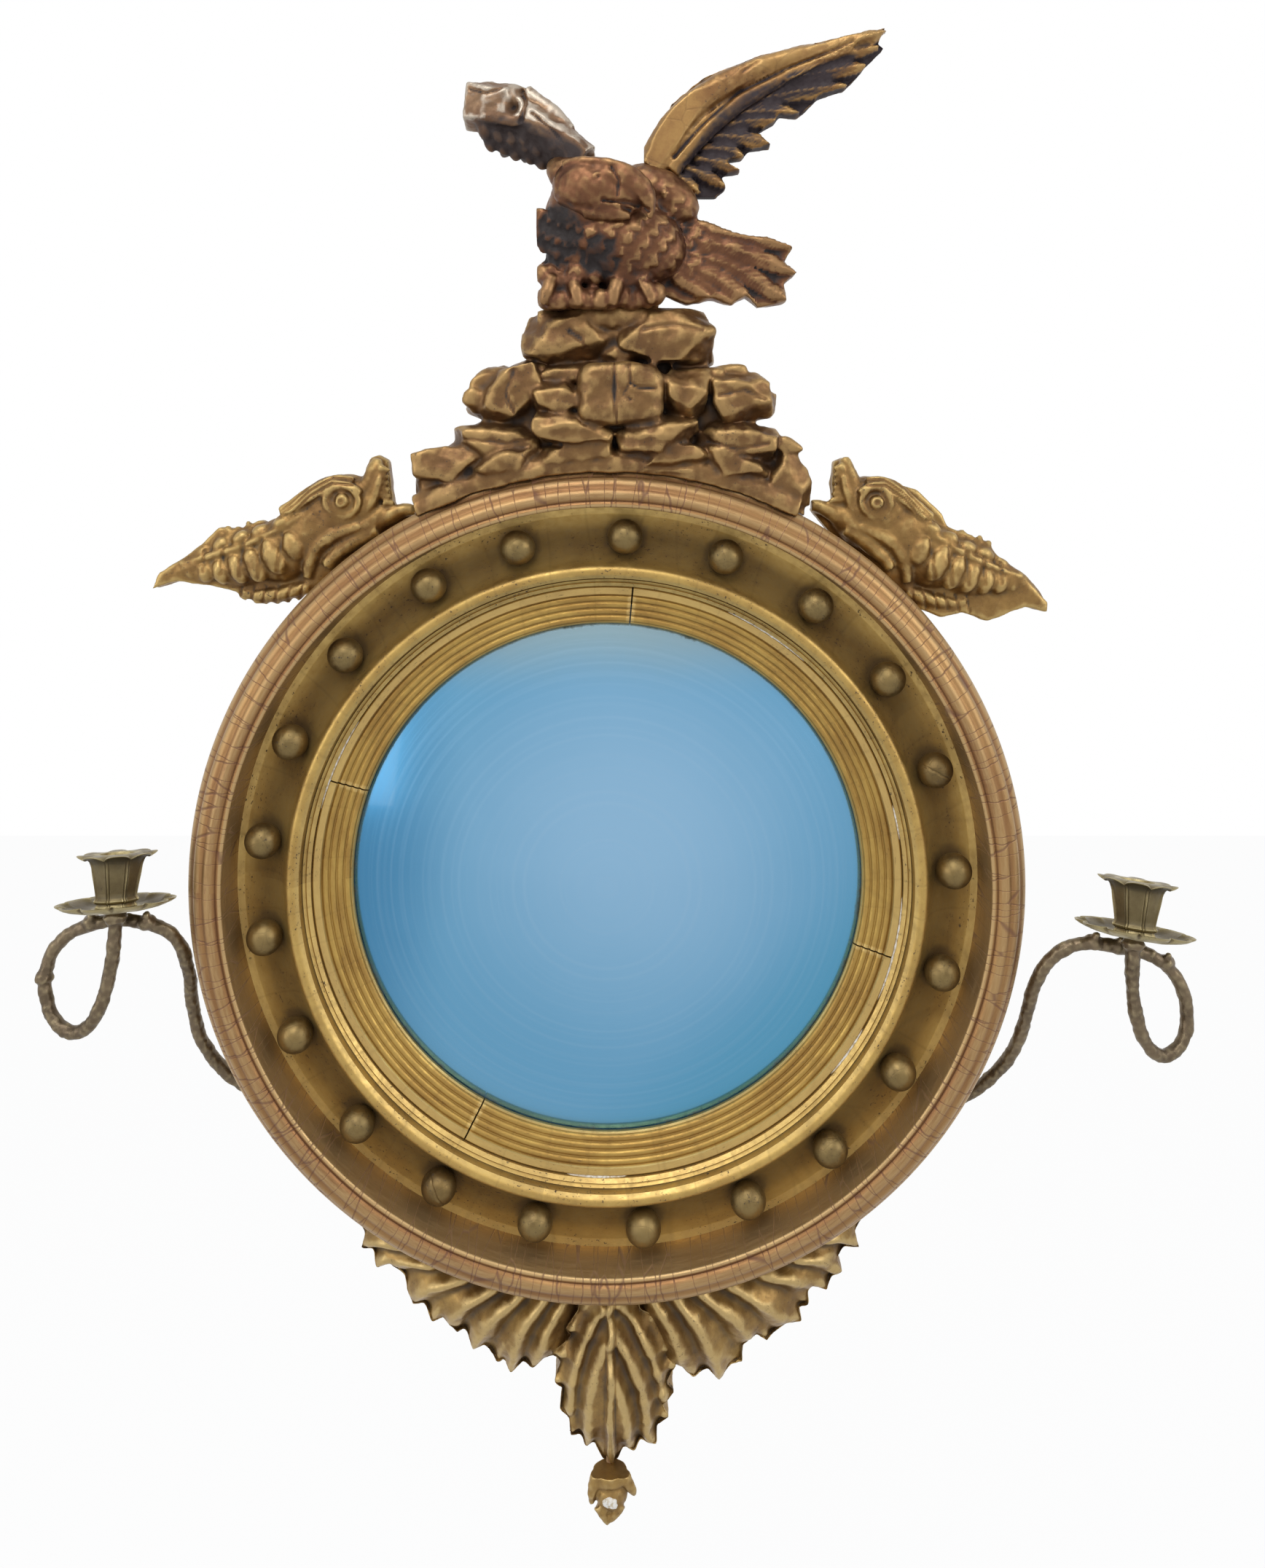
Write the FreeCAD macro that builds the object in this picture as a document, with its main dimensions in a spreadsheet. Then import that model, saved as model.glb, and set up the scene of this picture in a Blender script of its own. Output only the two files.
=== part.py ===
import FreeCAD, Part
import Sketcher
import math
import os

# A carved and gilded convex wall mirror with two candle arms, in millimetres.
# X points right, Z up and -Y out of the wall. The origin is on the wall, behind the glass centre.
# A depth is a distance out from the wall, so a point at depth 30 has Y = -30.

Vector = FreeCAD.Vector
Rotation = FreeCAD.Rotation
Placement = FreeCAD.Placement

ALONG_X = Vector(1, 0, 0)
ALONG_Y = Vector(0, 1, 0)
ALONG_Z = Vector(0, 0, 1)
OUT_OF_WALL = Rotation(ALONG_X, 90)
UPRIGHT = Rotation()

doc = FreeCAD.newDocument("girandole_mirror")
sheet = doc.addObject("Spreadsheet::Sheet", "sizes")
pieces = {}


# ---- driving dimensions -------------------------------------------------------------------

class Dimension:
    """A number from the sheet together with the formula that gives it."""

    def __init__(self, number, formula):
        self.number = number
        self.formula = formula

    def __add__(self, other):
        other = as_dimension(other)
        return Dimension(self.number + other.number, "(%s + %s)" % (self.formula, other.formula))

    def __sub__(self, other):
        other = as_dimension(other)
        return Dimension(self.number - other.number, "(%s - %s)" % (self.formula, other.formula))

    def __mul__(self, factor):
        factor = as_dimension(factor)
        return Dimension(self.number * factor.number, "(%s * %s)" % (self.formula, factor.formula))

    def __truediv__(self, divisor):
        divisor = as_dimension(divisor)
        return Dimension(self.number / divisor.number, "(%s / %s)" % (self.formula, divisor.formula))

    def __neg__(self):
        return self * -1


def as_dimension(value):
    if isinstance(value, Dimension):
        return value
    return Dimension(float(value), repr(float(value)))


def size(alias, number):
    """Put a driving dimension in the next row of the sheet."""
    size.row += 1
    sheet.set("A%d" % size.row, alias)
    sheet.set("B%d" % size.row, str(number))
    sheet.setAlias("B%d" % size.row, alias)
    return Dimension(float(number), "sizes." + alias)


size.row = 0

rim_radius = size("rim_radius", 300)
rim_depth = size("rim_depth", 58)
rim_clearance = size("rim_clearance", 0.6)
carcass_radius = size("carcass_radius", 271)
carcass_bore = size("carcass_bore", 205)
carcass_depth = size("carcass_depth", 30)
rebate_radius = size("rebate_radius", 245)
board_thickness = size("board_thickness", 10)
moulding_back = size("moulding_back", 28)
moulding_front = size("moulding_front", 74)
cove_radius = size("cove_radius", 229)
cove_top = size("cove_top", 58)
cove_foot = size("cove_foot", 36)
cove_hollow = size("cove_hollow", 34)
opening_radius = size("opening_radius", 214)
sight_radius = size("sight_radius", 186)
reed_width = size("reed_width", 5)
reed_round = size("reed_round", 3)
glass_radius = size("glass_radius", 200)
glass_rise = size("glass_rise", 30)
glass_thickness = size("glass_thickness", 4)
ball_radius = size("ball_radius", 13)
ball_circle = size("ball_circle", 250)
ball_seat = size("ball_seat", 38)
peg_radius = size("peg_radius", 4)
screw_radius = size("screw_radius", 2)
screw_head = size("screw_head", 4)
screw_head_depth = size("screw_head_depth", 2.5)
batten_width = size("batten_width", 68)
batten_back = size("batten_back", 10)
batten_thickness = size("batten_thickness", 14)
batten_foot = size("batten_foot", 248)
batten_head = size("batten_head", 404)
rock_top = size("rock_top", 412)
rod_radius = size("rod_radius", 5)
pin_radius = size("pin_radius", 4)
pin_gap = size("pin_gap", 0.05)
socket_radius = size("socket_radius", 7.5)
socket_place = size("socket_place", 222)
socket_depth = size("socket_depth", 15)
socket_height = size("socket_height", 22)
pan_radius = size("pan_radius", 40)
pan_thickness = size("pan_thickness", 1.6)
cup_height = size("cup_height", 37)
cup_bore = size("cup_bore", 11)
cup_foot = size("cup_foot", 5)
cup_lip = size("cup_lip", 27)
stem_depth = size("stem_depth", 72)
ring_wire = size("ring_wire", 2)
ring_span = size("ring_span", 26)
ring_drop = size("ring_drop", 24)
knuckle_height = size("knuckle_height", 300)
knuckle_depth = size("knuckle_depth", 5)
doc.recompute()


# ---- helpers ------------------------------------------------------------------------------

def keep(label, thing):
    """Name a finished piece and mark it to be written out."""
    thing.Label = label
    pieces[label] = thing
    return thing


def place(thing, x=0.0, y=0.0, z=0.0, turn=UPRIGHT):
    """Put a thing somewhere, with the places that come from the sheet bound to it."""
    spot = [as_dimension(value) for value in (x, y, z)]
    thing.Placement = Placement(Vector(*[value.number for value in spot]), turn)
    for axis, value in zip("xyz", spot):
        if "sizes." in value.formula:
            thing.setExpression("Placement.Base." + axis, value.formula)
    return thing


def primitive(kind, name, x=0.0, y=0.0, z=0.0, turn=UPRIGHT, **sizes):
    """A Part primitive whose sizes are bound to the sheet."""
    thing = doc.addObject("Part::" + kind, name)
    for prop, value in sizes.items():
        value = as_dimension(value)
        setattr(thing, prop, value.number)
        if "sizes." in value.formula:
            thing.setExpression(prop, value.formula)
    return place(thing, x, y, z, turn)


def joined(name, members):
    """Several shapes as one, which stay separate solids where they don't touch."""
    thing = doc.addObject("Part::MultiFuse", name)
    thing.Shapes = members
    return thing


def cut(name, base, tool):
    thing = doc.addObject("Part::Cut", name)
    thing.Base = base
    thing.Tool = tool
    return thing


def origin_plane(body, role):
    for feature in body.Origin.OriginFeatures:
        if feature.Role == role:
            return feature


def arc_middle(start, end, radius):
    """The middle of an arc that bulges to the right of its travel, or left if radius is negative."""
    along = end - start
    half = along.Length / 2
    rise = abs(radius) - math.sqrt(radius * radius - half * half)
    sideways = Vector(along.y, -along.x, 0).normalize() * math.copysign(rise, radius)
    return (start + end) * 0.5 + sideways


def profile(body, name, corners, rounds):
    """A sketch of a turned section: corners are (radius, depth), counter-clockwise.

    rounds gives an arc's radius for the edge that starts at that corner, negative if hollow.
    """
    sketch = body.newObject("Sketcher::SketchObject", name)
    sketch.AttachmentSupport = (origin_plane(body, "XY_Plane"), [""])
    sketch.MapMode = "FlatFace"
    corners = [(as_dimension(radius), -as_dimension(depth)) for radius, depth in corners]
    points = [Vector(radius.number, depth.number, 0) for radius, depth in corners]
    count = len(points)
    for edge in range(count):
        start = points[edge]
        end = points[(edge + 1) % count]
        if edge in rounds:
            radius = as_dimension(rounds[edge]).number
            middle = arc_middle(start, end, radius)
            first, last = (start, end) if radius > 0 else (end, start)
            sketch.addGeometry(Part.Arc(first, middle, last), False)
        else:
            sketch.addGeometry(Part.LineSegment(start, end), False)

    ends = []
    for edge, curve in enumerate(sketch.Geometry):
        ends.append((1, 2) if (curve.StartPoint - points[edge]).Length < 1e-6 else (2, 1))
    for edge in range(count):
        following = (edge + 1) % count
        sketch.addConstraint(Sketcher.Constraint(
            "Coincident", edge, ends[edge][1], following, ends[following][0]))
    for edge, corner in enumerate(corners):
        for kind, value in zip(("DistanceX", "DistanceY"), corner):
            if value.number == 0:
                axis = -2 if kind == "DistanceX" else -1
                sketch.addConstraint(Sketcher.Constraint("PointOnObject", edge, ends[edge][0], axis))
                continue
            number = sketch.addConstraint(Sketcher.Constraint(
                kind, -1, 1, edge, ends[edge][0], value.number))
            if "sizes." in value.formula:
                sketch.setExpression("Constraints[%d]" % number, value.formula)
    for edge, radius in rounds.items():
        sketch.addConstraint(Sketcher.Constraint("Radius", edge, abs(as_dimension(radius).number)))
    return sketch


def turned(name, corners, rounds=None, angle=360.0, start=0.0):
    """A ring or disc turned about Y, from start by angle, seen from the front."""
    body = doc.addObject("PartDesign::Body", name)
    sketch = profile(body, name + "_section", corners, rounds or {})
    turning = body.newObject("PartDesign::Revolution", name + "_turning")
    turning.Profile = sketch
    turning.ReferenceAxis = (sketch, ["V_Axis"])
    turning.Angle = angle
    turning.Reversed = angle < 360
    body.Tip = turning
    body.Placement = Placement(Vector(), Rotation(ALONG_Y, -start))
    return body


def outline(body, name, points, depth):
    """A closed sketch of straight runs in the wall's plane, at a depth out from it."""
    sketch = body.newObject("Sketcher::SketchObject", name)
    sketch.AttachmentSupport = (origin_plane(body, "XZ_Plane"), [""])
    sketch.MapMode = "FlatFace"
    depth = as_dimension(depth)
    sketch.AttachmentOffset = Placement(Vector(0, 0, depth.number), UPRIGHT)
    if "sizes." in depth.formula:
        sketch.setExpression("AttachmentOffset.Base.z", depth.formula)
    for edge, (x, z) in enumerate(points):
        next_x, next_z = points[(edge + 1) % len(points)]
        sketch.addGeometry(Part.LineSegment(Vector(x, z, 0), Vector(next_x, next_z, 0)), False)
    for edge in range(len(points)):
        sketch.addConstraint(Sketcher.Constraint("Coincident", edge, 2, (edge + 1) % len(points), 1))
    return sketch


def towards(points, heart, share):
    """The same outline drawn in towards the nearest point of its heart line."""
    drawn = []
    for x, z in points:
        near = nearest_on(heart, x, z)
        drawn.append((near[0] + (x - near[0]) * share, near[1] + (z - near[1]) * share))
    return drawn


def nearest_on(line, x, z):
    best = line[0]
    for (ax, az), (bx, bz) in zip(line, line[1:]):
        length = (bx - ax) ** 2 + (bz - az) ** 2
        share = max(0.0, min(1.0, ((x - ax) * (bx - ax) + (z - az) * (bz - az)) / length))
        spot = (ax + share * (bx - ax), az + share * (bz - az))
        if math.hypot(x - spot[0], z - spot[1]) < math.hypot(x - best[0], z - best[1]):
            best = spot
    return best


def stacked(name, slices):
    """A solid through flat outlines, given as (points, depth) from the wall outwards."""
    body = doc.addObject("PartDesign::Body", name)
    sketches = []
    for number, (points, depth) in enumerate(slices):
        sketches.append(outline(body, "%s_outline_%d" % (name, number), points, depth))
    loft = body.newObject("PartDesign::AdditiveLoft", name + "_loft")
    loft.Profile = sketches[0]
    loft.Sections = sketches[1:]
    loft.Ruled = True
    body.Tip = loft
    return body


def carved(name, points, heart, back, edge, front, share=0.5):
    """A board cut to an outline, full size from back to edge, then drawn in to its front."""
    return stacked(name, [(points, back), (points, edge), (towards(points, heart, share), front)])


def lump(name, x, z, depth, half_width, half_height, half_depth, lean=0.0):
    """A rounded mass in twelve-sided slices whose sizes follow an ellipsoid's."""
    slices = []
    for share in (-0.9, -0.55, 0.0, 0.55, 0.9):
        size_share = math.sqrt(1 - share * share)
        points = []
        for number in range(12):
            across, up = on_circle(size_share, 15 + 30 * number)
            turned_x, turned_z = on_circle(1.0, lean)
            across *= half_width
            up *= half_height
            points.append((x + across * turned_x - up * turned_z, z + across * turned_z + up * turned_x))
        slices.append((points, depth + half_depth * share))
    return stacked(name, slices)


def screws(name, spots, length, turn):
    """Countersunk screws, each a head and a shank, at spots where their heads lie flush."""
    members = []
    for number, (x, y, z) in enumerate(spots):
        members.append(primitive("Cone", "%s_head_%d" % (name, number), x, y, z, turn,
                                 Radius1=screw_head, Radius2=screw_radius, Height=screw_head_depth))
        members.append(primitive("Cylinder", "%s_shank_%d" % (name, number), x, y, z, turn,
                                 Radius=screw_radius, Height=length))
    return keep(name, joined(name, members))


def on_circle(radius, angle):
    """Where an angle, anticlockwise from the right as seen from the front, falls on a circle."""
    return radius * math.cos(math.radians(angle)), radius * math.sin(math.radians(angle))


def rod_path(name, points):
    """Straight runs with a tangent arc at each turn, as large as the runs allow."""
    points = [Vector(*point) for point in points]
    edges = []
    last = points[0]
    for before, corner, after in zip(points, points[1:], points[2:]):
        back = (before - corner)
        ahead = (after - corner)
        reach = 0.45 * min(back.Length, ahead.Length)
        back.normalize()
        ahead.normalize()
        half = back.getAngle(ahead) / 2
        enter = corner + back * reach
        leave = corner + ahead * reach
        inward = (back + ahead).normalize()
        centre = corner + inward * (reach / math.cos(half))
        middle = centre - inward * (reach * math.tan(half))
        edges.append(Part.LineSegment(last, enter).toShape())
        edges.append(Part.Arc(enter, middle, leave).toShape())
        last = leave
    edges.append(Part.LineSegment(last, points[-1]).toShape())
    thing = doc.addObject("Part::Feature", name)
    thing.Shape = Part.Wire(edges)
    return thing


def swept(name, points, radius):
    """A round rod along a path."""
    path = rod_path(name + "_path", points)
    start = Vector(*points[0])
    heading = Vector(*points[1]) - start
    section = primitive("Circle", name + "_section", Radius=radius)
    section.Placement = Placement(start, Rotation(ALONG_Z, heading))
    rod = doc.addObject("Part::Sweep", name + "_rod")
    rod.Sections = [section]
    rod.Spine = (path, ["Edge%d" % (number + 1) for number in range(len(path.Shape.Edges))])
    rod.Solid = True
    rod.Frenet = False
    return rod


# ---- turned frame -------------------------------------------------------------------------

# The pine carcass: a plain ring whose back is rebated for the boards.
carcass_ring = turned("carcass_ring", [
    (carcass_bore, board_thickness), (carcass_bore, carcass_depth),
    (carcass_radius, carcass_depth), (carcass_radius, 0),
    (rebate_radius, 0), (rebate_radius, board_thickness)])
batten_housing = primitive(
    "Box", "batten_housing", batten_width * -0.5, -(batten_back + batten_thickness), batten_foot,
    Length=batten_width, Width=batten_back + batten_thickness, Height=40)
housed_ring = cut("housed_ring", carcass_ring, batten_housing)

# The front ring: the hollow that holds the balls, with a bead and a step inside it.
bead_inner = cove_radius - 7
step_radius = cove_radius - 10.5
cove_turning = turned("cove_turning", [
    (opening_radius, carcass_depth), (opening_radius, cove_top - 10),
    (step_radius, cove_top - 6), (step_radius, cove_top), (bead_inner, cove_top + 2.5),
    (cove_radius, cove_top + 2), (cove_radius, cove_top), (carcass_radius, cove_foot),
    (carcass_radius, carcass_depth)],
    {4: 4.2, 6: -cove_hollow})

# The reeded outer moulding, glued round the edge of both rings.
keep("outer_moulding", turned("outer_moulding_turning", [
    (carcass_radius, moulding_back), (carcass_radius, moulding_front - 1.5),
    (carcass_radius + 4, moulding_front), (rim_radius - 15.4, moulding_front),
    (rim_radius - 7, moulding_front - 8), (rim_radius - 2, rim_depth - 8),
    (rim_radius - 3, moulding_back + 12), (rim_radius - 8, moulding_back)],
    {1: 2.6, 2: 5.6, 3: 7, 4: 10}))

# The balls, each with a peg into the front ring. They are spaced by eye, so not quite evenly.
ball_angles = (105, 87, 70, 53, 36, 19, 2, -15, -33, -50, -66,
               -84, -102, -119, -136, -154, -171, 173, 156, 139, 121)
ball_depth = ball_seat + ball_radius
peg_foot = carcass_depth + 1
balls = []
pegs = []
for number, angle in enumerate(ball_angles):
    ball_x, ball_z = on_circle(ball_circle.number, angle)
    balls.append(primitive("Sphere", "ball_%d" % number, ball_x, -ball_depth, ball_z,
                           Radius=ball_radius))
    pegs.append(primitive("Cylinder", "peg_%d" % number, ball_x, -peg_foot, ball_z, OUT_OF_WALL,
                          Radius=peg_radius, Height=ball_depth - peg_foot))
peg_set = joined("peg_set", pegs)
bored_cove = cut("bored_cove", cove_turning, peg_set)
keep("ball_ornaments", joined("ball_set", balls + [peg_set]))
keep("cove_ring", bored_cove)

# The reeded slip round the glass, in four lengths that meet at its four joints.
slip_lip = carcass_depth + 8
reed_corners = []
for reed in range(5):
    reed_corners.append((sight_radius + 1 + reed_width * reed, slip_lip + 1 + reed * 1.5))
slip_corners = [
    (glass_radius, carcass_depth), (sight_radius, carcass_depth + 5), (sight_radius, slip_lip)]
slip_corners += reed_corners
slip_corners += [
    (sight_radius + 22, slip_lip + 9), (opening_radius, slip_lip + 9), (opening_radius, carcass_depth)]
slip_rounds = {3 + reed: reed_round for reed in range(4)}
slip_joints = {"slip_upper_left": (85, 160), "slip_lower_left": (160, 241),
               "slip_bottom": (241, 345), "slip_right": (345, 445)}
for label, (first, last) in slip_joints.items():
    keep(label, turned(label + "_length", slip_corners, slip_rounds, last - first, first))

# The convex glass, a shallow cap that bulges to the front, between two equal spheres.
cap_round = (glass_radius * glass_radius + glass_rise * glass_rise) / (glass_rise * 2)
glass_back = carcass_depth - glass_thickness
glass_centre = cap_round - carcass_depth - glass_rise
front_sphere = primitive("Sphere", "glass_front_sphere", 0, glass_centre, 0, Radius=cap_round)
back_sphere = primitive("Sphere", "glass_back_sphere", 0, glass_centre + glass_thickness, 0,
                        Radius=cap_round)
glass_drum = primitive("Cylinder", "glass_drum", 0, -glass_back, 0, OUT_OF_WALL,
                       Radius=glass_radius, Height=glass_rise * 2)
glass_bulge = doc.addObject("Part::Common", "glass_bulge")
glass_bulge.Base = glass_drum
glass_bulge.Tool = front_sphere
keep("convex_glass", cut("glass_cap", glass_bulge, back_sphere))

# Soft wooden blocks glued inside the carcass hold the glass against the slip.
block_count = 8
blocks = []
for number in range(block_count):
    block_middle = 22.5 + number * 360 / block_count
    blocks.append(turned("block_%d" % number, [
        (glass_radius - 10, board_thickness + 3), (glass_radius - 10, glass_back),
        (carcass_bore, glass_back), (carcass_bore, board_thickness + 3)],
        {}, 9.0, block_middle - 4.5))
keep("glazing_blocks", joined("block_set", blocks))

# Three pine boards close the back, flush with it, and are screwed to the rebate.
board_seams = (-260.0, -88.0, 88.0, 260.0)
board_gap = 0.4
board_screw_circle = 232.0
board_screw_angles = [15 + 30 * number for number in range(12)]
board_screw_spots = []
for angle in board_screw_angles:
    screw_x, screw_z = on_circle(board_screw_circle, angle)
    board_screw_spots.append((screw_x, 0, screw_z))
board_screws = screws("backboard_screws", board_screw_spots, 22, OUT_OF_WALL)
board_labels = ("backboard_left", "backboard_middle", "backboard_right")
for number, label in enumerate(board_labels):
    disc = primitive("Cylinder", label + "_disc", turn=OUT_OF_WALL,
                     Radius=rebate_radius - 0.5, Height=board_thickness)
    width = board_seams[number + 1] - board_seams[number] - board_gap
    strip = primitive("Box", label + "_strip", board_seams[number] + board_gap / 2,
                      -board_thickness, -rebate_radius,
                      Length=width, Width=board_thickness, Height=rebate_radius * 2)
    board = doc.addObject("Part::Common", label + "_board")
    board.Base = disc
    board.Tool = strip
    keep(label, cut(label, board, board_screws))

# ---- hanging gear -------------------------------------------------------------------------

# The batten is let into the back of the carcass and carries the rockwork in front of it.
batten_front = batten_back + batten_thickness
batten_board = primitive(
    "Box", "batten_board", batten_width * -0.5, -batten_front, batten_foot,
    Length=batten_width, Width=batten_thickness, Height=batten_head - batten_foot)
batten_screws = screws("crest_batten_screws", [
    (-22, -batten_back, 258), (22, -batten_back, 258)], 18, OUT_OF_WALL)
plate_screws = screws("hanging_plate_screws", [
    (-13, -(batten_back - 2), 316), (13, -(batten_back - 2), 316),
    (-13, -(batten_back - 2), 344), (13, -(batten_back - 2), 344)], 12, OUT_OF_WALL)
crest_screws = screws("rockwork_screws", [
    (-24, -batten_back, 366), (24, -batten_back, 366),
    (-24, -batten_back, 394), (24, -batten_back, 394),
    (-26, -batten_back, 310), (26, -batten_back, 310)], 32, OUT_OF_WALL)
all_batten_screws = joined("all_batten_screws", [batten_screws, plate_screws, crest_screws])
keep("crest_batten", cut("crest_batten", batten_board, all_batten_screws))

# The iron hanging plate, with a knuckle for the ring.
plate = primitive("Box", "plate", -20, -batten_back, knuckle_height - 4,
                  Length=40, Width=2, Height=56)
knuckle = primitive("Cylinder", "knuckle", -7, -knuckle_depth, knuckle_height,
                    Rotation(ALONG_Y, 90), Radius=ring_wire + 2, Height=14)
knuckle_web = primitive("Box", "knuckle_web", -7, -batten_back, knuckle_height - 4,
                        Length=14, Width=batten_back - knuckle_depth, Height=8)
knuckle_bore = primitive("Cylinder", "knuckle_bore", -30, -knuckle_depth, knuckle_height,
                         Rotation(ALONG_Y, 90), Radius=ring_wire + pin_gap, Height=60)
plate_blank = cut("plate_blank", joined("plate_forging", [plate, knuckle, knuckle_web]), knuckle_bore)
keep("hanging_plate", cut("hanging_plate", plate_blank, plate_screws))

# The ring: a straight bar through the knuckle and a round bow that hangs below it.
bar_half = ring_span.number / 2
ring_y = -knuckle_depth.number
ring_z = knuckle_height.number
ring_low = ring_z - ring_drop.number
ring_side = ring_z - 9.0
ring_points = [
    (0, ring_y, ring_z), (bar_half, ring_y, ring_z), (bar_half + 1, ring_y, ring_side),
    (bar_half - 4, ring_y, ring_low + 3), (0, ring_y, ring_low),
    (4 - bar_half, ring_y, ring_low + 3), (-bar_half - 1, ring_y, ring_side),
    (-bar_half, ring_y, ring_z), (0, ring_y, ring_z)]
keep("hanging_ring", swept("hanging_ring", ring_points, ring_wire))

# ---- rockwork and eagle -------------------------------------------------------------------

# Everything that is fitted round the frame is cut back to these two drums.
moulding_drum = primitive("Cylinder", "moulding_drum", 0, -moulding_back, 0, OUT_OF_WALL,
                          Radius=rim_radius + rim_clearance, Height=70)
carcass_drum = primitive("Cylinder", "carcass_drum", turn=OUT_OF_WALL,
                         Radius=carcass_radius, Height=carcass_depth)
frame_drums = joined("frame_drums", [moulding_drum, carcass_drum])


def rock_tier(name, points, back, edge, rocks):
    """A tier of the rockwork: a slab cut to its outline with rocks standing out of it."""
    low = min(z for x, z in points)
    high = max(z for x, z in points)
    heart_ends = [min(x for x, z in points) + 20, max(x for x, z in points) - 20]
    heart = [(heart_ends[0], (low + high) / 2), (heart_ends[1], (low + high) / 2)]
    members = [carved(name + "_slab", points, heart, back, edge, edge + 8, 0.86)]
    for number, (x, z, width, height, front) in enumerate(rocks):
        members.append(stacked("%s_rock_%d" % (name, number), [
            (rock_corners(x, z, width, height, 1.2), edge - 4),
            (rock_corners(x, z, width, height, 0.6), front)]))
    tier = doc.addObject("Part::Common", name + "_carving")
    tier.Base = joined(name + "_rocks", members)
    tier.Tool = primitive("Box", name + "_span", -200, -120, low, Length=400, Width=120, Height=high - low)
    return tier


def rock_corners(x, z, width, height, share):
    """A lozenge with blunt ends, as the rocks are."""
    shape = ((-0.5, -0.1), (-0.3, -0.5), (0.25, -0.5), (0.5, -0.15), (0.42, 0.35), (0.1, 0.5), (-0.35, 0.42))
    return [(x + width * share * across, z + height * share * up) for across, up in shape]


base_outline = [
    (-136, 262), (-138, 286), (-129, 303), (-125, 316), (-108, 320), (108, 320), (130, 320),
    (141, 303), (145, 292), (146, 262), (90, 256), (-80, 256)]
base_rocks = [(-112, 298, 40, 36, 66), (-72, 301, 42, 32, 70), (-28, 304, 44, 28, 72),
              (18, 303, 48, 30, 70), (66, 302, 46, 32, 72), (112, 298, 44, 36, 66)]
middle_outline = [
    (-109, 320), (-106, 327), (-92, 332), (-97, 352), (-81, 364), (-76, 372), (40, 372), (76, 368),
    (97, 366), (114, 355), (113, 343), (103, 334), (122, 328), (118, 320)]
middle_rocks = [(-84, 333, 40, 24, 68), (-44, 334, 44, 26, 72), (2, 332, 46, 22, 70),
                (46, 334, 46, 26, 74), (90, 333, 42, 24, 68), (-68, 356, 40, 28, 66),
                (-32, 357, 34, 26, 70), (10, 353, 58, 36, 82), (54, 357, 38, 28, 72),
                (90, 354, 36, 26, 66)]
crown_outline = [
    (-46, 372), (-51, 383), (-58, 397), (-54, 408), (-42, 412), (70, 412), (77, 402), (73, 384),
    (76, 372)]
crown_rocks = [(-26, 393, 56, 34, 72), (36, 392, 70, 34, 74)]
tiers = {"rockwork_base": (base_outline, base_rocks),
         "rockwork_middle": (middle_outline, middle_rocks),
         "rockwork_crown": (crown_outline, crown_rocks)}
eagle_dowel = primitive("Cylinder", "eagle_dowel_rod", -2, -50, rock_top - 22,
                        Radius=5, Height=46)
fixings = joined("rockwork_fixings", [crest_screws, eagle_dowel, frame_drums])
for label, (points, rocks) in tiers.items():
    keep(label, cut(label, rock_tier(label, points, batten_front, 50, rocks), fixings))

# The eagle's body, head, tail and feet are one carving, and its wings are let into its back.
trunk = lump("eagle_trunk", 6, 468, 62, 54, 34, 34, -24)
neck = lump("eagle_neck", -12, 490, 78, 27, 29, 24)
skull = lump("eagle_skull", -3, 498, 90, 31, 20, 18)
beak = stacked("eagle_beak", [
    ([(10, 482), (26, 482), (27, 506), (8, 510)], 84),
    ([(14, 474), (30, 468), (34, 494), (20, 506), (8, 504)], 94),
    ([(20, 478), (29, 472), (31, 492), (18, 498)], 102)])
left_leg = lump("eagle_left_leg", -27, 452, 60, 16, 23, 18)
left_foot = lump("eagle_left_foot", -32, 428, 60, 16, 20, 19)
right_foot = lump("eagle_right_foot", 12, 429, 62, 18, 20, 21)
tail_outline = [
    (20, 482), (60, 478), (92, 466), (118, 462), (134, 456), (126, 446), (136, 436), (124, 430),
    (129, 417), (106, 413), (98, 422), (88, 414), (72, 420), (56, 416), (39, 424), (16, 436)]
tail = carved("eagle_tail", tail_outline, [(30, 458), (100, 438)], 50, 62, 74, 0.6)
perch_plane = primitive("Box", "perch_plane", -120, -120, rock_top - 60, Length=300, Width=120, Height=60)
wing_root_left = primitive("Cylinder", "left_wing_dowel", -14, -58, 500, Rotation(ALONG_Y, -52),
                           Radius=4, Height=30)
wing_root_right = primitive("Cylinder", "right_wing_dowel", 34, -54, 492, Rotation(ALONG_Y, 28),
                            Radius=4, Height=36)
eagle_blank = joined("eagle_blank", [trunk, neck, skull, beak, left_leg, left_foot, right_foot, tail])
eagle_tools = joined("eagle_tools", [perch_plane, eagle_dowel, wing_root_left, wing_root_right])
eagle_carving = cut("eagle_carving", eagle_blank, eagle_tools)
keep("eagle_body", eagle_carving)
keep("eagle_dowel", eagle_dowel)
keep("wing_dowels", joined("wing_dowel_set", [wing_root_left, wing_root_right]))

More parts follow.
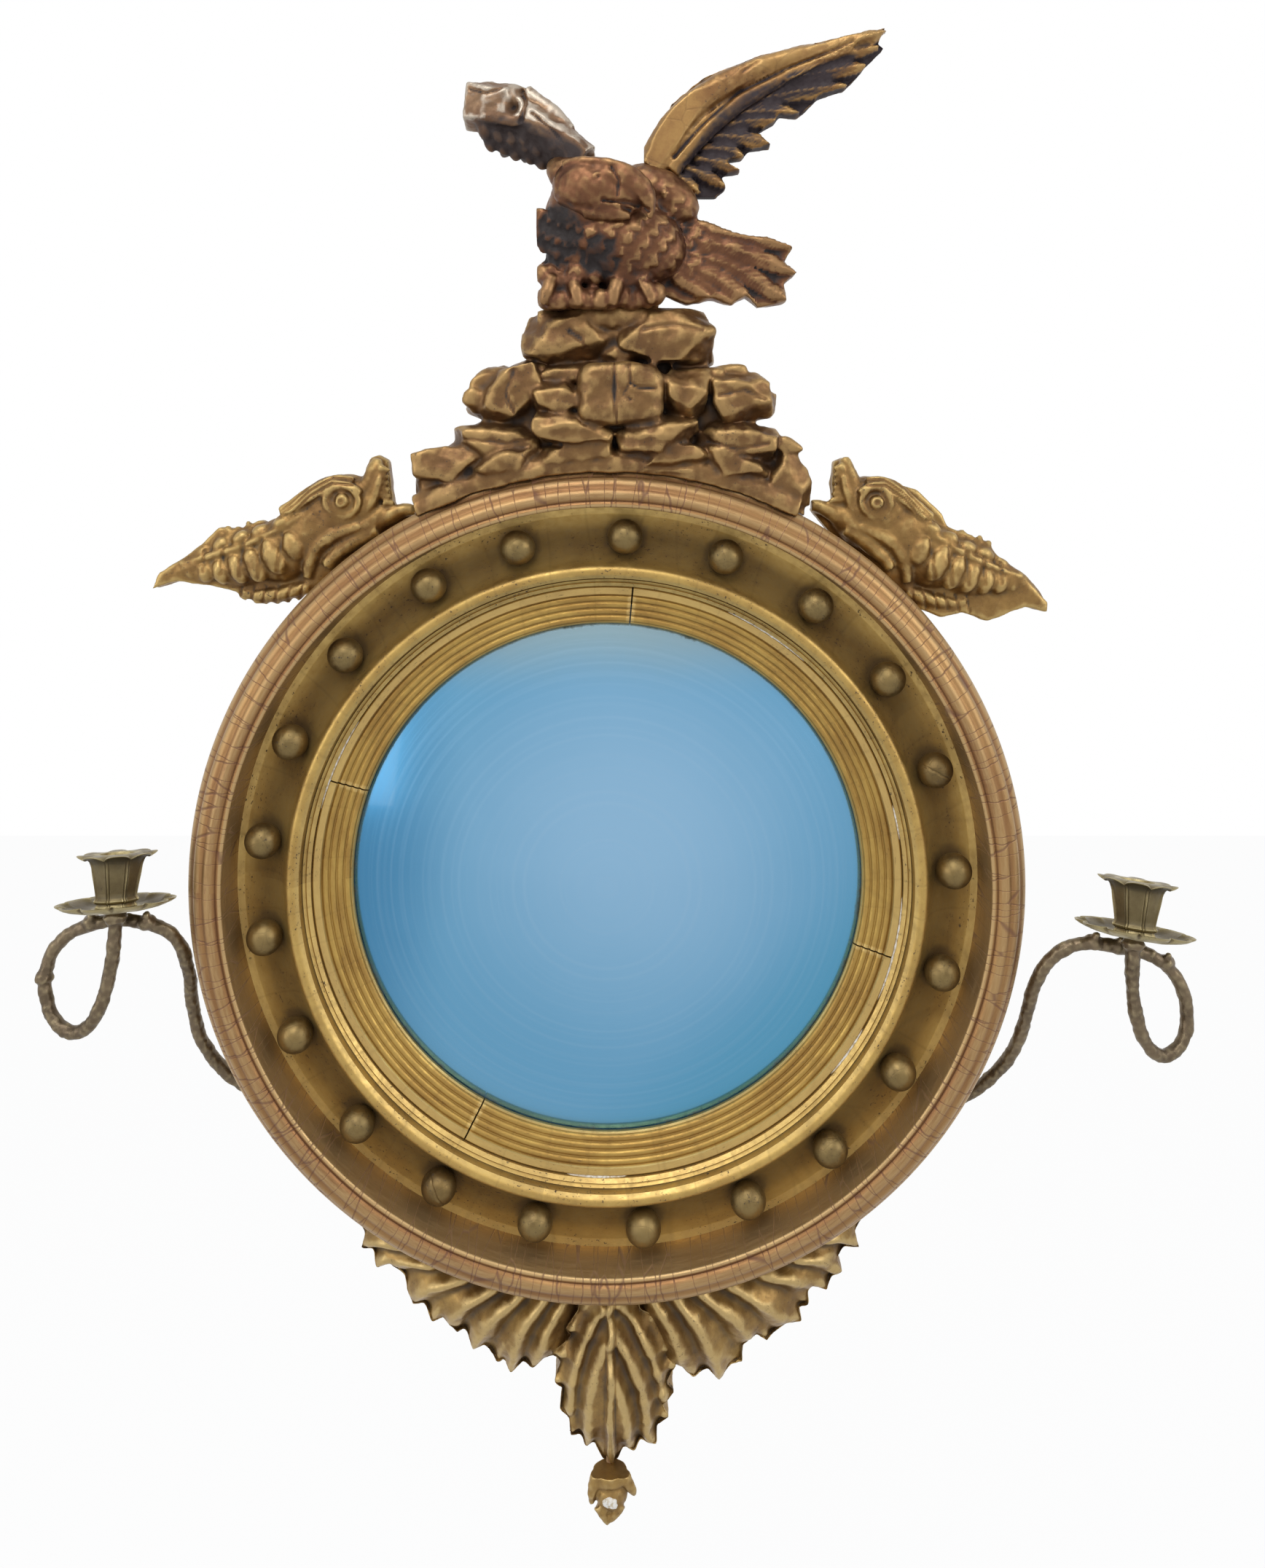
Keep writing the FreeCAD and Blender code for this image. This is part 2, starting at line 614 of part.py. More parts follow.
right_wing_outline = [
    (28, 514), (45, 530), (44, 548), (45, 562), (70, 582), (110, 598), (160, 608), (202, 618),
    (194, 603), (186, 587), (171, 572), (137, 551), (120, 549), (119, 531), (96, 526),
    (96, 513), (84, 500), (66, 496), (44, 500)]
right_wing_heart = [(48, 518), (90, 560), (180, 600)]
right_wing = carved("eagle_right_wing_board", right_wing_outline, right_wing_heart, 42, 54, 64, 0.45)
left_wing_outline = [
    (-101, 573), (-82, 576), (-62, 568), (-42, 559), (-28, 545), (-10, 531), (-6, 512),
    (-30, 508), (-42, 528), (-65, 522), (-79, 527), (-90, 540), (-103, 550)]
left_wing_heart = [(-24, 520), (-46, 543), (-84, 556)]
left_wing = carved("eagle_left_wing_board", left_wing_outline, left_wing_heart, 44, 62, 74, 0.5)
for label, wing in (("eagle_right_wing", right_wing), ("eagle_left_wing", left_wing)):
    fitted = cut(label + "_fitted", wing, eagle_blank)
    keep(label, cut(label, fitted, joined(label + "_sockets", [wing_root_left, wing_root_right])))

# ---- dolphins -----------------------------------------------------------------------------

# Each dolphin lies along the rim with its mouth to the rockwork and its back tucked behind it.
left_dolphin_outline = [
    (-337, 210), (-332, 222), (-312, 234), (-296, 246), (-287, 256), (-272, 254), (-257, 262),
    (-247, 258), (-239, 270), (-222, 284), (-199, 296), (-182, 296), (-169, 311), (-160, 308),
    (-156, 288), (-150, 272), (-138, 270), (-150, 252), (-180, 228), (-206, 204), (-222, 210),
    (-240, 200), (-260, 198), (-264, 206), (-290, 212), (-318, 216)]
left_dolphin_heart = [(-318, 220), (-262, 232), (-210, 256), (-170, 276)]
right_dolphin_outline = [
    (150, 270), (156, 284), (157, 302), (168, 308), (182, 304), (188, 294), (206, 292), (228, 284),
    (247, 266), (252, 256), (281, 246), (288, 236), (306, 222), (326, 200), (326, 192), (308, 196),
    (280, 185), (262, 192), (246, 188), (226, 196), (212, 206), (190, 228), (164, 250)]
right_dolphin_heart = [(172, 280), (210, 258), (256, 226), (312, 200)]
dolphin_eyes = {"left_dolphin": (-192, 276), "right_dolphin": (203, 273)}
dolphin_boards = {"left_dolphin": (left_dolphin_outline, left_dolphin_heart),
                  "right_dolphin": (right_dolphin_outline, right_dolphin_heart)}
dolphin_screw_spots = []
for angle in (127, 137, 43, 53):
    screw_x, screw_z = on_circle(289.0, angle)
    dolphin_screw_spots.append((screw_x, -16, screw_z))
dolphin_screws = screws("dolphin_screws", dolphin_screw_spots, 24, OUT_OF_WALL)
dolphin_tools = joined("dolphin_tools", [dolphin_screws, moulding_drum])
for label, (points, heart) in dolphin_boards.items():
    board = carved(label + "_board", points, heart, 16, 36, 50, 0.45)
    eye_x, eye_z = dolphin_eyes[label]
    eye = primitive("Sphere", label + "_eye", eye_x, -43, eye_z, Radius=7)
    keep(label, cut(label, joined(label + "_blank", [board, eye]), dolphin_tools))

# ---- apron of leaves ----------------------------------------------------------------------

left_leaf_outline = [
    (-186, -238), (-180, -260), (-170, -289), (-149, -295), (-143, -316), (-129, -330), (-111, -338),
    (-99, -349), (-81, -360), (-72, -366), (-56, -364), (-32, -352), (-22, -318), (-22, -284),
    (-80, -270), (-150, -238)]
left_leaf_heart = [(-166, -258), (-110, -302), (-50, -318)]
right_leaf_outline = [
    (188, -236), (187, -258), (185, -274), (168, -280), (173, -292), (161, -306), (147, -303),
    (148, -318), (144, -329), (117, -343), (99, -346), (99, -359), (82, -371), (63, -370),
    (42, -360), (24, -318), (24, -284), (80, -270), (150, -236)]
right_leaf_heart = [(168, -256), (112, -302), (52, -320)]
centre_leaf_outline = [
    (-21, -284), (-21, -318), (-32, -332), (-41, -351), (-36, -372), (-34, -392), (-27, -409),
    (-16, -416), (-12, -428), (8, -428), (20, -420), (38, -411), (44, -388), (50, -366), (50, -346),
    (40, -330), (23, -318), (23, -284)]
centre_leaf_heart = [(0, -300), (3, -360), (2, -418)]
bud_outline = [
    (-12, -428), (-14, -440), (-10, -450), (-3, -456), (0, -467), (5, -458), (14, -448),
    (23, -442), (16, -430), (8, -428)]
bud_heart = [(2, -432), (2, -456)]
apron_screw_spots = []
for angle in (-124, -108, -90, -72, -56):
    screw_x, screw_z = on_circle(289.0, angle)
    apron_screw_spots.append((screw_x, -14, screw_z))
apron_screws = screws("apron_screws", apron_screw_spots, 24, OUT_OF_WALL)
bud_peg = primitive("Cylinder", "bud_peg_rod", 2, -36, -440, Radius=3, Height=26)
apron_tools = joined("apron_tools", [apron_screws, moulding_drum, bud_peg])
apron_boards = {
    "apron_left_leaf": carved("left_leaf", left_leaf_outline, left_leaf_heart, 14, 40, 56, 0.4),
    "apron_right_leaf": carved("right_leaf", right_leaf_outline, right_leaf_heart, 14, 40, 56, 0.4),
    "apron_centre_leaf": carved("centre_leaf", centre_leaf_outline, centre_leaf_heart, 14, 46, 66, 0.4),
    "apron_bud": carved("bud", bud_outline, bud_heart, 22, 46, 60, 0.5)}
side_leaf_tools = joined("side_leaf_tools", [apron_tools, apron_boards["apron_centre_leaf"]])
for label, board in apron_boards.items():
    is_side_leaf = label in ("apron_left_leaf", "apron_right_leaf")
    keep(label, cut(label, board, side_leaf_tools if is_side_leaf else apron_tools))
keep("bud_peg", bud_peg)

# ---- candle arms --------------------------------------------------------------------------

arm_ends = {"left": -1, "right": 1}
pin_top = {"left": -172.0, "right": -176.0}
arm_points = {
    "left": [(-250, -15, -172), (-272, -16, -164), (-289, -18, -149),
             (-300, -24, -130), (-304, -31, -108), (-304, -38, -85), (-303, -46, -62),
             (-306, -54, -42), (-314, -58, -31), (-328, -60, -25), (-348, -59, -23),
             (-368, -58, -26), (-390, -56, -36), (-402, -56, -54), (-403, -57, -78),
             (-394, -60, -98), (-378, -64, -105), (-362, -69, -94), (-352, -72, -70),
             (-347, -72, -44)],
    "right": [(250, -15, -177), (270, -16, -170), (283, -19, -158),
              (294, -26, -142), (301, -34, -123), (304, -42, -102), (306, -50, -78),
              (310, -56, -62), (319, -58, -49), (332, -58, -42), (348, -58, -40),
              (366, -58, -43), (384, -57, -47), (400, -56, -55), (412, -56, -71),
              (417, -57, -92), (411, -60, -113), (395, -64, -122), (381, -68, -110),
              (372, -72, -88), (369, -72, -64)]}

# Where each pan sits, how far its stem leans to the right and how far back towards the wall.
cup_seat = {"left": (-345.0, -12.0, -2.5, 10.0), "right": (371.0, -31.0, 8.0, 10.0)}
arm_collars = {"left": [(-328, -60, -25), (-368, -58, -26)],
               "right": [(348, -58, -40), (366, -58, -43), (400, -56, -55)]}
bracket_angles = {"left": 222.0, "right": -43.0}


def candle_cup(name):
    """A fluted nozzle with a flared lip of eight petals, about Z, standing on Z = 0."""
    walls = [(as_dimension(3.05), 0), (14, 0), (13, 3), (cup_bore + 3.2, 12), (cup_bore + 7, cup_height - 3),
             (cup_lip, cup_height - 1.2), (cup_lip, cup_height), (cup_bore + 4, cup_height),
             (cup_bore, cup_height - 1), (cup_bore, cup_foot + 1.5), (cup_bore - 3, cup_foot),
             (3.05, cup_foot)]
    return petals(name, walls, cup_lip, cup_height, 8, 4.5)


def drip_pan(name):
    """A shallow dished plate with ten petals, about Z, standing on Z = 0."""
    top = pan_thickness
    walls = [(3.05, 0), (pan_radius * 0.55, 0), (pan_radius * 0.8, 1.5), (pan_radius, 4),
             (pan_radius, top + 4), (pan_radius * 0.8, top + 1.5), (pan_radius * 0.55, top), (3.05, top)]
    return petals(name, walls, pan_radius, top + 5, 10, 5.5)


def petals(name, walls, radius, height, count, bite):
    """Turn a section about Z and nip its edge between the petals."""
    body = doc.addObject("PartDesign::Body", name + "_turned")
    sketch = body.newObject("Sketcher::SketchObject", name + "_section")
    sketch.AttachmentSupport = (origin_plane(body, "XZ_Plane"), [""])
    sketch.MapMode = "FlatFace"
    points = [(as_dimension(x), as_dimension(z)) for x, z in walls]
    for edge in range(len(points)):
        start = points[edge]
        end = points[(edge + 1) % len(points)]
        sketch.addGeometry(Part.LineSegment(Vector(start[0].number, start[1].number, 0),
                                            Vector(end[0].number, end[1].number, 0)), False)
    for edge in range(len(points)):
        sketch.addConstraint(Sketcher.Constraint("Coincident", edge, 2, (edge + 1) % len(points), 1))
        for kind, value in zip(("DistanceX", "DistanceY"), points[edge]):
            number = sketch.addConstraint(Sketcher.Constraint(kind, -1, 1, edge, 1, value.number))
            if "sizes." in value.formula:
                sketch.setExpression("Constraints[%d]" % number, value.formula)
    turning = body.newObject("PartDesign::Revolution", name + "_turning")
    turning.Profile = sketch
    turning.ReferenceAxis = (sketch, ["V_Axis"])
    turning.Angle = 360
    body.Tip = turning
    nips = []
    for number in range(count):
        nip_x, nip_y = on_circle(radius.number + bite * 0.45, 360.0 * (number + 0.5) / count)
        nips.append(primitive("Cylinder", "%s_nip_%d" % (name, number), nip_x, nip_y, -1,
                              Radius=bite, Height=height + 2))
    return cut(name, body, joined(name + "_nips", nips))


for side, sign in arm_ends.items():
    label = side + "_candle_"
    seat_x, seat_z, lean, lean_back = cup_seat[side]
    tilt = Rotation(ALONG_Y, lean).multiply(Rotation(ALONG_X, -lean_back))
    up = tilt.multVec(ALONG_Z)
    seat = Vector(seat_x, -stem_depth.number, seat_z)
    pin_x = sign * socket_place.number
    pin_height = pin_top[side]
    points = [(pin_x, -socket_depth.number, pin_height - 12), (pin_x, -socket_depth.number, pin_height)]
    points += arm_points[side]
    points += [tuple(seat - up * 4)]
    rod = swept(label + "arm", points, rod_radius)
    shoulder = primitive("Cylinder", label + "shoulder", Radius=7, Height=6)
    shoulder.Placement = Placement(seat - up * 6, tilt)
    spigot = primitive("Cylinder", label + "spigot", Radius=3, Height=pan_thickness + 1.5)
    spigot.Placement = Placement(seat, tilt)
    pin = primitive("Cylinder", label + "pin", pin_x, -socket_depth, pin_height - 12 - socket_height.number - 2,
                    Radius=pin_radius, Height=socket_height + 2)
    members = [rod, shoulder, spigot, pin]
    for number, (x, y, z) in enumerate(arm_collars[side]):
        members.append(primitive("Sphere", "%scollar_%d" % (label, number), x, y, z, Radius=7))
    keep(side + "_candle_arm", joined(label + "arm_casting", members))
    pan = drip_pan(side + "_drip_pan")
    pan.Placement = Placement(seat, tilt)
    keep(side + "_drip_pan", pan)
    cup = candle_cup(side + "_candle_cup")
    cup.Placement = Placement(seat + up * pan_thickness.number, tilt)
    keep(side + "_candle_cup", cup)

    # The socket: a tube that the arm's pin drops into, on a strap screwed to the carcass.
    tube_foot = pin_height - 13 - socket_height.number
    tube = primitive("Cylinder", label + "tube", pin_x, -socket_depth, tube_foot,
                     Radius=socket_radius, Height=socket_height)
    angle = bracket_angles[side]
    strap = turned(label + "strap", [
        (carcass_radius, 4), (carcass_radius, 26), (carcass_radius + 3, 26), (carcass_radius + 3, 4)],
        {}, 12.0, angle - 6)
    wall_x, wall_z = on_circle(carcass_radius.number + 1, angle)
    middle_z = tube_foot + socket_height.number / 2
    reach = Vector(pin_x - wall_x, 0, middle_z - wall_z)
    web = primitive("Box", label + "web", Length=8, Width=8, Height=reach.Length)
    web_turn = Rotation(ALONG_Z, reach)
    web.Placement = Placement(
        Vector(wall_x, -socket_depth.number, wall_z) - web_turn.multVec(Vector(4, 4, 0)), web_turn)
    bore = primitive("Cylinder", label + "bore", pin_x, -socket_depth, tube_foot - 5,
                     Radius=pin_radius + pin_gap, Height=socket_height + 10)
    casting = cut(label + "casting", joined(label + "socket_parts", [tube, strap, web]), bore)
    screw_members = []
    for step in (-4.2, 4.2):
        out_x, out_z = on_circle(1.0, angle + step)
        turn = Rotation(ALONG_Z, Vector(-out_x, 0, -out_z))
        face = Vector(out_x, 0, out_z) * (carcass_radius.number + 3)
        for kind, extra in (("Cone", {"Radius1": 3.4, "Radius2": 1.6, "Height": 2}),
                            ("Cylinder", {"Radius": 1.6, "Height": 20})):
            piece = primitive(kind, "%s%s_%d" % (label, kind, len(screw_members)), **extra)
            piece.Placement = Placement(face + Vector(0, -socket_depth.number, 0), turn)
            screw_members.append(piece)
    socket_screws = keep(side + "_socket_screws", joined(label + "socket_screws", screw_members))
    socket_tools = joined(label + "socket_tools", [socket_screws, carcass_drum])
    keep(side + "_arm_socket", cut(side + "_arm_socket", casting, socket_tools))

# The carcass takes its screws last: boards, batten and sockets.
carcass_screws = joined("carcass_screws", [
    board_screws, batten_screws, pieces["left_socket_screws"], pieces["right_socket_screws"]])
keep("frame_carcass", cut("frame_carcass", housed_ring, carcass_screws))
rim_screws = joined("rim_screws", [dolphin_screws, apron_screws])
keep("outer_moulding", cut("outer_moulding_bored", pieces["outer_moulding"], rim_screws))

# ---- build, test and write ----------------------------------------------------------------

doc.recompute()
failed = [thing.Name for thing in doc.Objects if "Invalid" in thing.State or "Error" in thing.State]
if failed:
    raise RuntimeError("failed: " + ", ".join(failed))
for label, thing in pieces.items():
    if thing.Shape.isNull() or not thing.Shape.isValid():
        raise RuntimeError("bad shape: " + label)
os.makedirs("parts", exist_ok=True)
for label, thing in pieces.items():
    box = thing.Shape.BoundBox
    print("%-22s %2d solids %9.0f mm3  x %7.1f %7.1f  y %7.1f %7.1f  z %7.1f %7.1f" % (
        label, len(thing.Shape.Solids), thing.Shape.Volume,
        box.XMin, box.XMax, box.YMin, box.YMax, box.ZMin, box.ZMax))
    thing.Shape.exportStep("parts/%s.step" % label)
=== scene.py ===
# %% [markdown]
# # A carved and gilded convex mirror with two candle arms
# This notebook dresses the measured model of a round wall mirror in its real surface. The mirror
# has a turned and gilded frame, a ring of gilded balls, a blue convex glass, a carved eagle on
# rocks, two dolphins, an apron of acanthus leaves and two brass candle arms. Every piece is made
# at its own place in the measured frame, in metres, with X to the right, Z up and the wall at Y = 0.

# %% Load the measured frame
import bmesh
import bpy
import math
import numpy as np
import random
from mathutils import Matrix, Vector, noise


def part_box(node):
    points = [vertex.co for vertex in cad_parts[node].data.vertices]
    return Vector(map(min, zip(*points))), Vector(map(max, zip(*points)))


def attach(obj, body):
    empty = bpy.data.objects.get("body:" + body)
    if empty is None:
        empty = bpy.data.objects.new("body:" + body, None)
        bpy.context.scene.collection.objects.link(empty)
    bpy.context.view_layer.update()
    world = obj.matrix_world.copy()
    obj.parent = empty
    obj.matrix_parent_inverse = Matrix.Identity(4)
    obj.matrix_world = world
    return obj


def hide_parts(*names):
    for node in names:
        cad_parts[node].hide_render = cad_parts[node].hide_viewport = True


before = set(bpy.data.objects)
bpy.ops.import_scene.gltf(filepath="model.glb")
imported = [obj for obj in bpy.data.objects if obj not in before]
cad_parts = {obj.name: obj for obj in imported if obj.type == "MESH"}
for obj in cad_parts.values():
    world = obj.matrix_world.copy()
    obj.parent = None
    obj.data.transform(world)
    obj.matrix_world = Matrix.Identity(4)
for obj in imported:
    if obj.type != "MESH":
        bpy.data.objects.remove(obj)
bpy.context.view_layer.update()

# %% [markdown]
# Every size below is thought of in millimetres, as a carver would, so a small function turns a
# place on the front of the mirror into a point in metres. Depth is how far a point stands out
# from the wall.

# %% Measures
MM = 0.001


def spot(x, z, depth):
    """A point in metres from its place across, its height and its depth out of the wall."""
    return Vector((x, -depth, z)) * MM


def round_the_rim(radius, angle, depth):
    """A point on a circle round the glass, with the angle anticlockwise from the right."""
    turn = math.radians(angle)
    return spot(radius * math.cos(turn), radius * math.sin(turn), depth)


# %% [markdown]
# Blender's tools act on whatever is selected, so each step begins with nothing selected. These
# few helpers pick up a piece, take it into edit mode, give it a modifier and apply it at once, and
# at the end fix it to the part of the measured frame that carries it.

# %% Bench helpers
def clear_bench():
    """Leave edit mode and let go of everything."""
    if bpy.context.object and bpy.context.object.mode != "OBJECT":
        bpy.ops.object.mode_set(mode="OBJECT")
    bpy.ops.object.select_all(action="DESELECT")


def pick_up(*things):
    """Select these pieces, with the last one active."""
    clear_bench()
    for thing in things:
        thing.select_set(True)
    bpy.context.view_layer.objects.active = things[-1]
    return things[-1]


def open_up(thing):
    """Edit mode with nothing selected, and the mesh to choose from."""
    pick_up(thing)
    bpy.ops.object.mode_set(mode="EDIT")
    bpy.ops.mesh.select_all(action="DESELECT")
    return bmesh.from_edit_mesh(thing.data)


def work(thing, kind, **settings):
    """Add one modifier and apply it."""
    pick_up(thing)
    modifier = thing.modifiers.new(kind, kind)
    for name, value in settings.items():
        setattr(modifier, name, value)
    bpy.ops.object.modifier_apply(modifier=modifier.name)
    return thing


def weld(*things):
    """Join pieces into the last one."""
    if len(things) > 1:
        pick_up(*things)
        bpy.ops.object.join()
    return things[-1]


def settle(thing):
    """Put a piece's place, turn and scale into its mesh."""
    pick_up(thing)
    bpy.ops.object.transform_apply(location=True, rotation=True, scale=True)
    return thing


def outwards(thing, gap=0.00001):
    """Merge doubled points and turn all faces outwards."""
    open_up(thing)
    bpy.ops.mesh.select_all(action="SELECT")
    bpy.ops.mesh.remove_doubles(threshold=gap)
    bpy.ops.mesh.normals_make_consistent(inside=False)
    clear_bench()
    return thing


def smooth(thing, angle=40):
    pick_up(thing)
    bpy.ops.object.shade_smooth_by_angle(angle=math.radians(angle))
    return thing


def hang(thing, name, body, material, slot, *nodes):
    """Name a finished piece, give it its finish and fix it to its part of the frame."""
    thing.name = name
    thing.data.name = name
    thing.data.materials.clear()
    thing.data.materials.append(material)
    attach(thing, body)
    if nodes:
        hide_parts(*nodes)
    print(name, len(thing.data.polygons), "faces")
    return thing


# %% [markdown]
# The photograph is taken to be from a level camera at the height of the rim's top, because the
# picture's lower part shows the apron from above. A level camera with its picture shifted down
# gives the same view without tipping the upright lines.

# %% Camera
CAMERA_PLACE = (0.0183, -0.944, 0.286)
CAMERA_LENS = 28.46
PICTURE_SHIFT = -0.19
bpy.ops.object.camera_add(location=CAMERA_PLACE, rotation=(math.radians(90), 0, 0))
camera = bpy.context.object
camera.name = "photo_camera"
camera.data.lens = CAMERA_LENS
camera.data.shift_y = PICTURE_SHIFT
camera.data.clip_start = 0.01
bpy.context.scene.camera = camera

# %% [markdown]
# Wiring nodes in code is easier to read when one call places a node, sets it and joins its inputs.

# %% Wiring helper
def put(tree, kind, settings=None, **inputs):
    """Place a node, with settings for its menus and values or links for its inputs."""
    node = tree.nodes.new("ShaderNode" + kind)
    for name, value in (settings or {}).items():
        setattr(node, name, value)
    for name, value in inputs.items():
        socket = node.inputs[int(name[1:])] if name[0] == "_" else node.inputs[name.replace("_", " ")]
        if isinstance(value, bpy.types.NodeSocket):
            tree.links.new(value, socket)
        else:
            socket.default_value = value
    return node


def span(tree, value, low, high, bottom=0.0, top=1.0):
    """Rescale a value from one range to another, and stop it at the ends."""
    return put(tree, "MapRange", {"interpolation_type": "SMOOTHSTEP"}, Value=value, From_Min=low,
               From_Max=high, To_Min=bottom, To_Max=top).outputs[0]


def blend_colours(tree, share, under, over, way="MIX"):
    """Lay one colour over another by a share."""
    mix = put(tree, "Mix", {"data_type": "RGBA", "blend_type": way}, _0=share, _6=under, _7=over)
    return mix.outputs[2]


def sums(tree, way, first, second=0.5, clamp=False):
    return put(tree, "Math", {"operation": way, "use_clamp": clamp}, _0=first, _1=second).outputs[0]


def seen_by_eye(tree):
    """One for rays from the camera, a reflection or a refraction, and nothing for all others."""
    rays = put(tree, "LightPath").outputs
    mirrored = sums(tree, "MAXIMUM", rays["Is Glossy Ray"], rays["Is Transmission Ray"])
    return sums(tree, "MAXIMUM", rays["Is Camera Ray"], mirrored)


def blank_finish(name):
    """A new material with its node tree and its shader."""
    material = bpy.data.materials.new(name)
    material.use_nodes = True
    return material, material.node_tree, material.node_tree.nodes["Principled BSDF"]


def wire(tree, shader, **outputs):
    """Join outputs to the shader's inputs of these names."""
    for name, output in outputs.items():
        tree.links.new(output, shader.inputs[name.replace("_", " ")])


def new_group(name, takes, gives):
    """An empty node group with named inputs and outputs."""
    group = bpy.data.node_groups.new(name, "ShaderNodeTree")
    kinds = {"colour": "NodeSocketColor", "number": "NodeSocketFloat", "vector": "NodeSocketVector"}
    for socket, kind in takes:
        group.interface.new_socket(name=socket, in_out="INPUT", socket_type=kinds[kind])
    for socket, kind in gives:
        group.interface.new_socket(name=socket, in_out="OUTPUT", socket_type=kinds[kind])
    inside = group.nodes.new("NodeGroupInput")
    outside = group.nodes.new("NodeGroupOutput")
    return group, inside.outputs, outside.inputs


# %% [markdown]
# A gilded carving needs broad, soft light: large panels above, left and right, and a quiet grey
# world that fills the hollows. There is no wall: the camera and any reflection see the world as
# white. They see the floor as nearly white too, with a little of its own colour and shadows left.

# %% Light, floor and backdrop
FLOOR_HEIGHT = -1.25
FLOOR_GLOW = 0.95
WHITE = (1, 1, 1, 1)


def panel(name, place, look_at, size, power):
    """A square soft light that faces a point."""
    bpy.ops.object.light_add(type="AREA", location=place)
    light = bpy.context.object
    light.name = name
    light.data.shape = "SQUARE"
    light.data.size = size
    light.data.energy = power
    light.rotation_euler = (Vector(look_at) - Vector(place)).to_track_quat("-Z", "Y").to_euler()
    return light


panel("panel_above", (-0.5, -1.9, 2.5), (0, 0, 0.1), 1.8, 42)
panel("panel_left", (-2.4, -1.7, 0.6), (0, 0, 0), 1.8, 18)
panel("panel_right", (2.4, -1.5, 1.2), (0, 0, 0.1), 1.8, 26)

world = bpy.data.worlds.new("pale_room")
bpy.context.scene.world = world
world.use_nodes = True
sky = world.node_tree
sky.nodes.clear()
fill = put(sky, "Background", Color=(0.86, 0.9, 1.0, 1), Strength=0.5)
seen = put(sky, "Background", Color=WHITE, Strength=1.0)
choose = put(sky, "MixShader", _0=seen_by_eye(sky), _1=fill.outputs[0], _2=seen.outputs[0])
put(sky, "OutputWorld", _0=choose.outputs[0])

clear_bench()
bpy.ops.mesh.primitive_plane_add(size=9, location=(0, 0, FLOOR_HEIGHT))
floor = bpy.context.object
floor.name = "floor"
pale, ground, chalk = blank_finish("pale_floor")
chalk.inputs["Base Color"].default_value = (0.86, 0.86, 0.85, 1)
chalk.inputs["Roughness"].default_value = 0.8
glow = put(ground, "Emission", Color=WHITE, Strength=1.0)
glow_share = sums(ground, "MULTIPLY", seen_by_eye(ground), FLOOR_GLOW)
floor_mix = put(ground, "MixShader", _0=glow_share, _1=chalk.outputs[0], _2=glow.outputs[0])
ground.links.new(floor_mix.outputs[0], ground.nodes["Material Output"].inputs["Surface"])
floor.data.materials.append(pale)

bpy.context.scene.view_settings.view_transform = "Standard"
print("stage is set")

# %% [markdown]
# Old gilding is never one colour. Gold leaf lies over red clay on white gesso and tarnishes in
# patches. Here its raised edges also get a paler painted highlight, and its hollows a dark colour
# for grime and painted shade. Painting this by hand on every piece would take days, so it is one
# node group that all gilded pieces share. To know its edges and hollows, each piece is measured
# first: its points are compared with a smoothed copy of themselves, and the difference is kept on
# the mesh as its relief.

# %% Measure the relief
def read_points(thing, what="co"):
    """The places of a mesh's points in metres, or their normals, as rows of three."""
    values = np.empty(len(thing.data.vertices) * 3)
    thing.data.vertices.foreach_get(what, values)
    return values.reshape(-1, 3)


def write_points(thing, rows):
    """Move the points of a mesh to these places."""
    thing.data.vertices.foreach_set("co", rows.ravel())
    thing.data.update()
    return thing


def note_relief(thing, rounds):
    """Keep on each point how far it stands out of its surroundings, in millimetres."""
    mesh = thing.data
    place = read_points(thing)
    count = len(place)
    ends = np.empty(len(mesh.edges) * 2, np.int64)
    mesh.edges.foreach_get("vertices", ends)
    first, last = ends[0::2], ends[1::2]
    neighbours = np.maximum(np.bincount(ends, minlength=count), 1)
    soft = place.copy()
    for _ in range(rounds):
        total = np.empty_like(soft)
        for axis in range(3):
            total[:, axis] = np.bincount(first, soft[last, axis], count)
            total[:, axis] += np.bincount(last, soft[first, axis], count)
        soft = 0.5 * soft + 0.5 * total / neighbours[:, None]
    relief = ((place - soft) * read_points(thing, "normal")).sum(1) * 1000
    kept = mesh.attributes.get("relief") or mesh.attributes.new("relief", "FLOAT", "POINT")
    kept.data.foreach_set("value", relief.astype(np.float32))
    return thing


# %% [markdown]
# The shared gilding. Slow noise mixes bright and tarnished leaf, quick noise gives each patch its
# own tone, the relief puts a paler painted highlight on the edges and a dark colour for grime and
# painted shade in the hollows, and fine specks of dirt and a net of dark hair cracks finish it. The
# same masks drive the roughness, the metal and the bump, so a dark hollow is also duller than the
# leaf beside it.

# %% Old gilding
old_gilding, given, result = new_group(
    "old_gilding",
    [("Pattern", "vector"), ("Crack Pattern", "vector"), ("Leaf", "colour"), ("Tarnish", "colour"),
     ("Edge", "colour"), ("Grime", "colour"), ("Edge Wear", "number"), ("Hollow Grime", "number"),
     ("Specks", "number"), ("Crack Depth", "number"), ("Crack Size", "number")],
    [("Colour", "colour"), ("Roughness", "number"), ("Metallic", "number"), ("Height", "number")])
g = old_gilding
patches = put(g, "TexNoise", Vector=given["Pattern"], Scale=26.0, Detail=7.0, Roughness=0.62)
flecks = put(g, "TexNoise", Vector=given["Pattern"], Scale=190.0, Detail=5.0, Roughness=0.65)
dots = put(g, "TexNoise", Vector=given["Pattern"], Scale=430.0, Detail=3.0, Roughness=0.7)
relief = put(g, "Attribute", {"attribute_name": "relief"}).outputs["Fac"]
raised = sums(g, "ADD", relief, sums(g, "SUBTRACT", flecks.outputs["Fac"], 0.5))
# A paler painted highlight on what stands out, and dirt with painted shade in what lies deep.
edge = sums(g, "MULTIPLY", span(g, raised, 0.06, 0.8), given["Edge Wear"], True)
dirt_and_shade_mask = sums(g, "MULTIPLY", span(g, raised, 0.05, -1.9), given["Hollow Grime"], True)
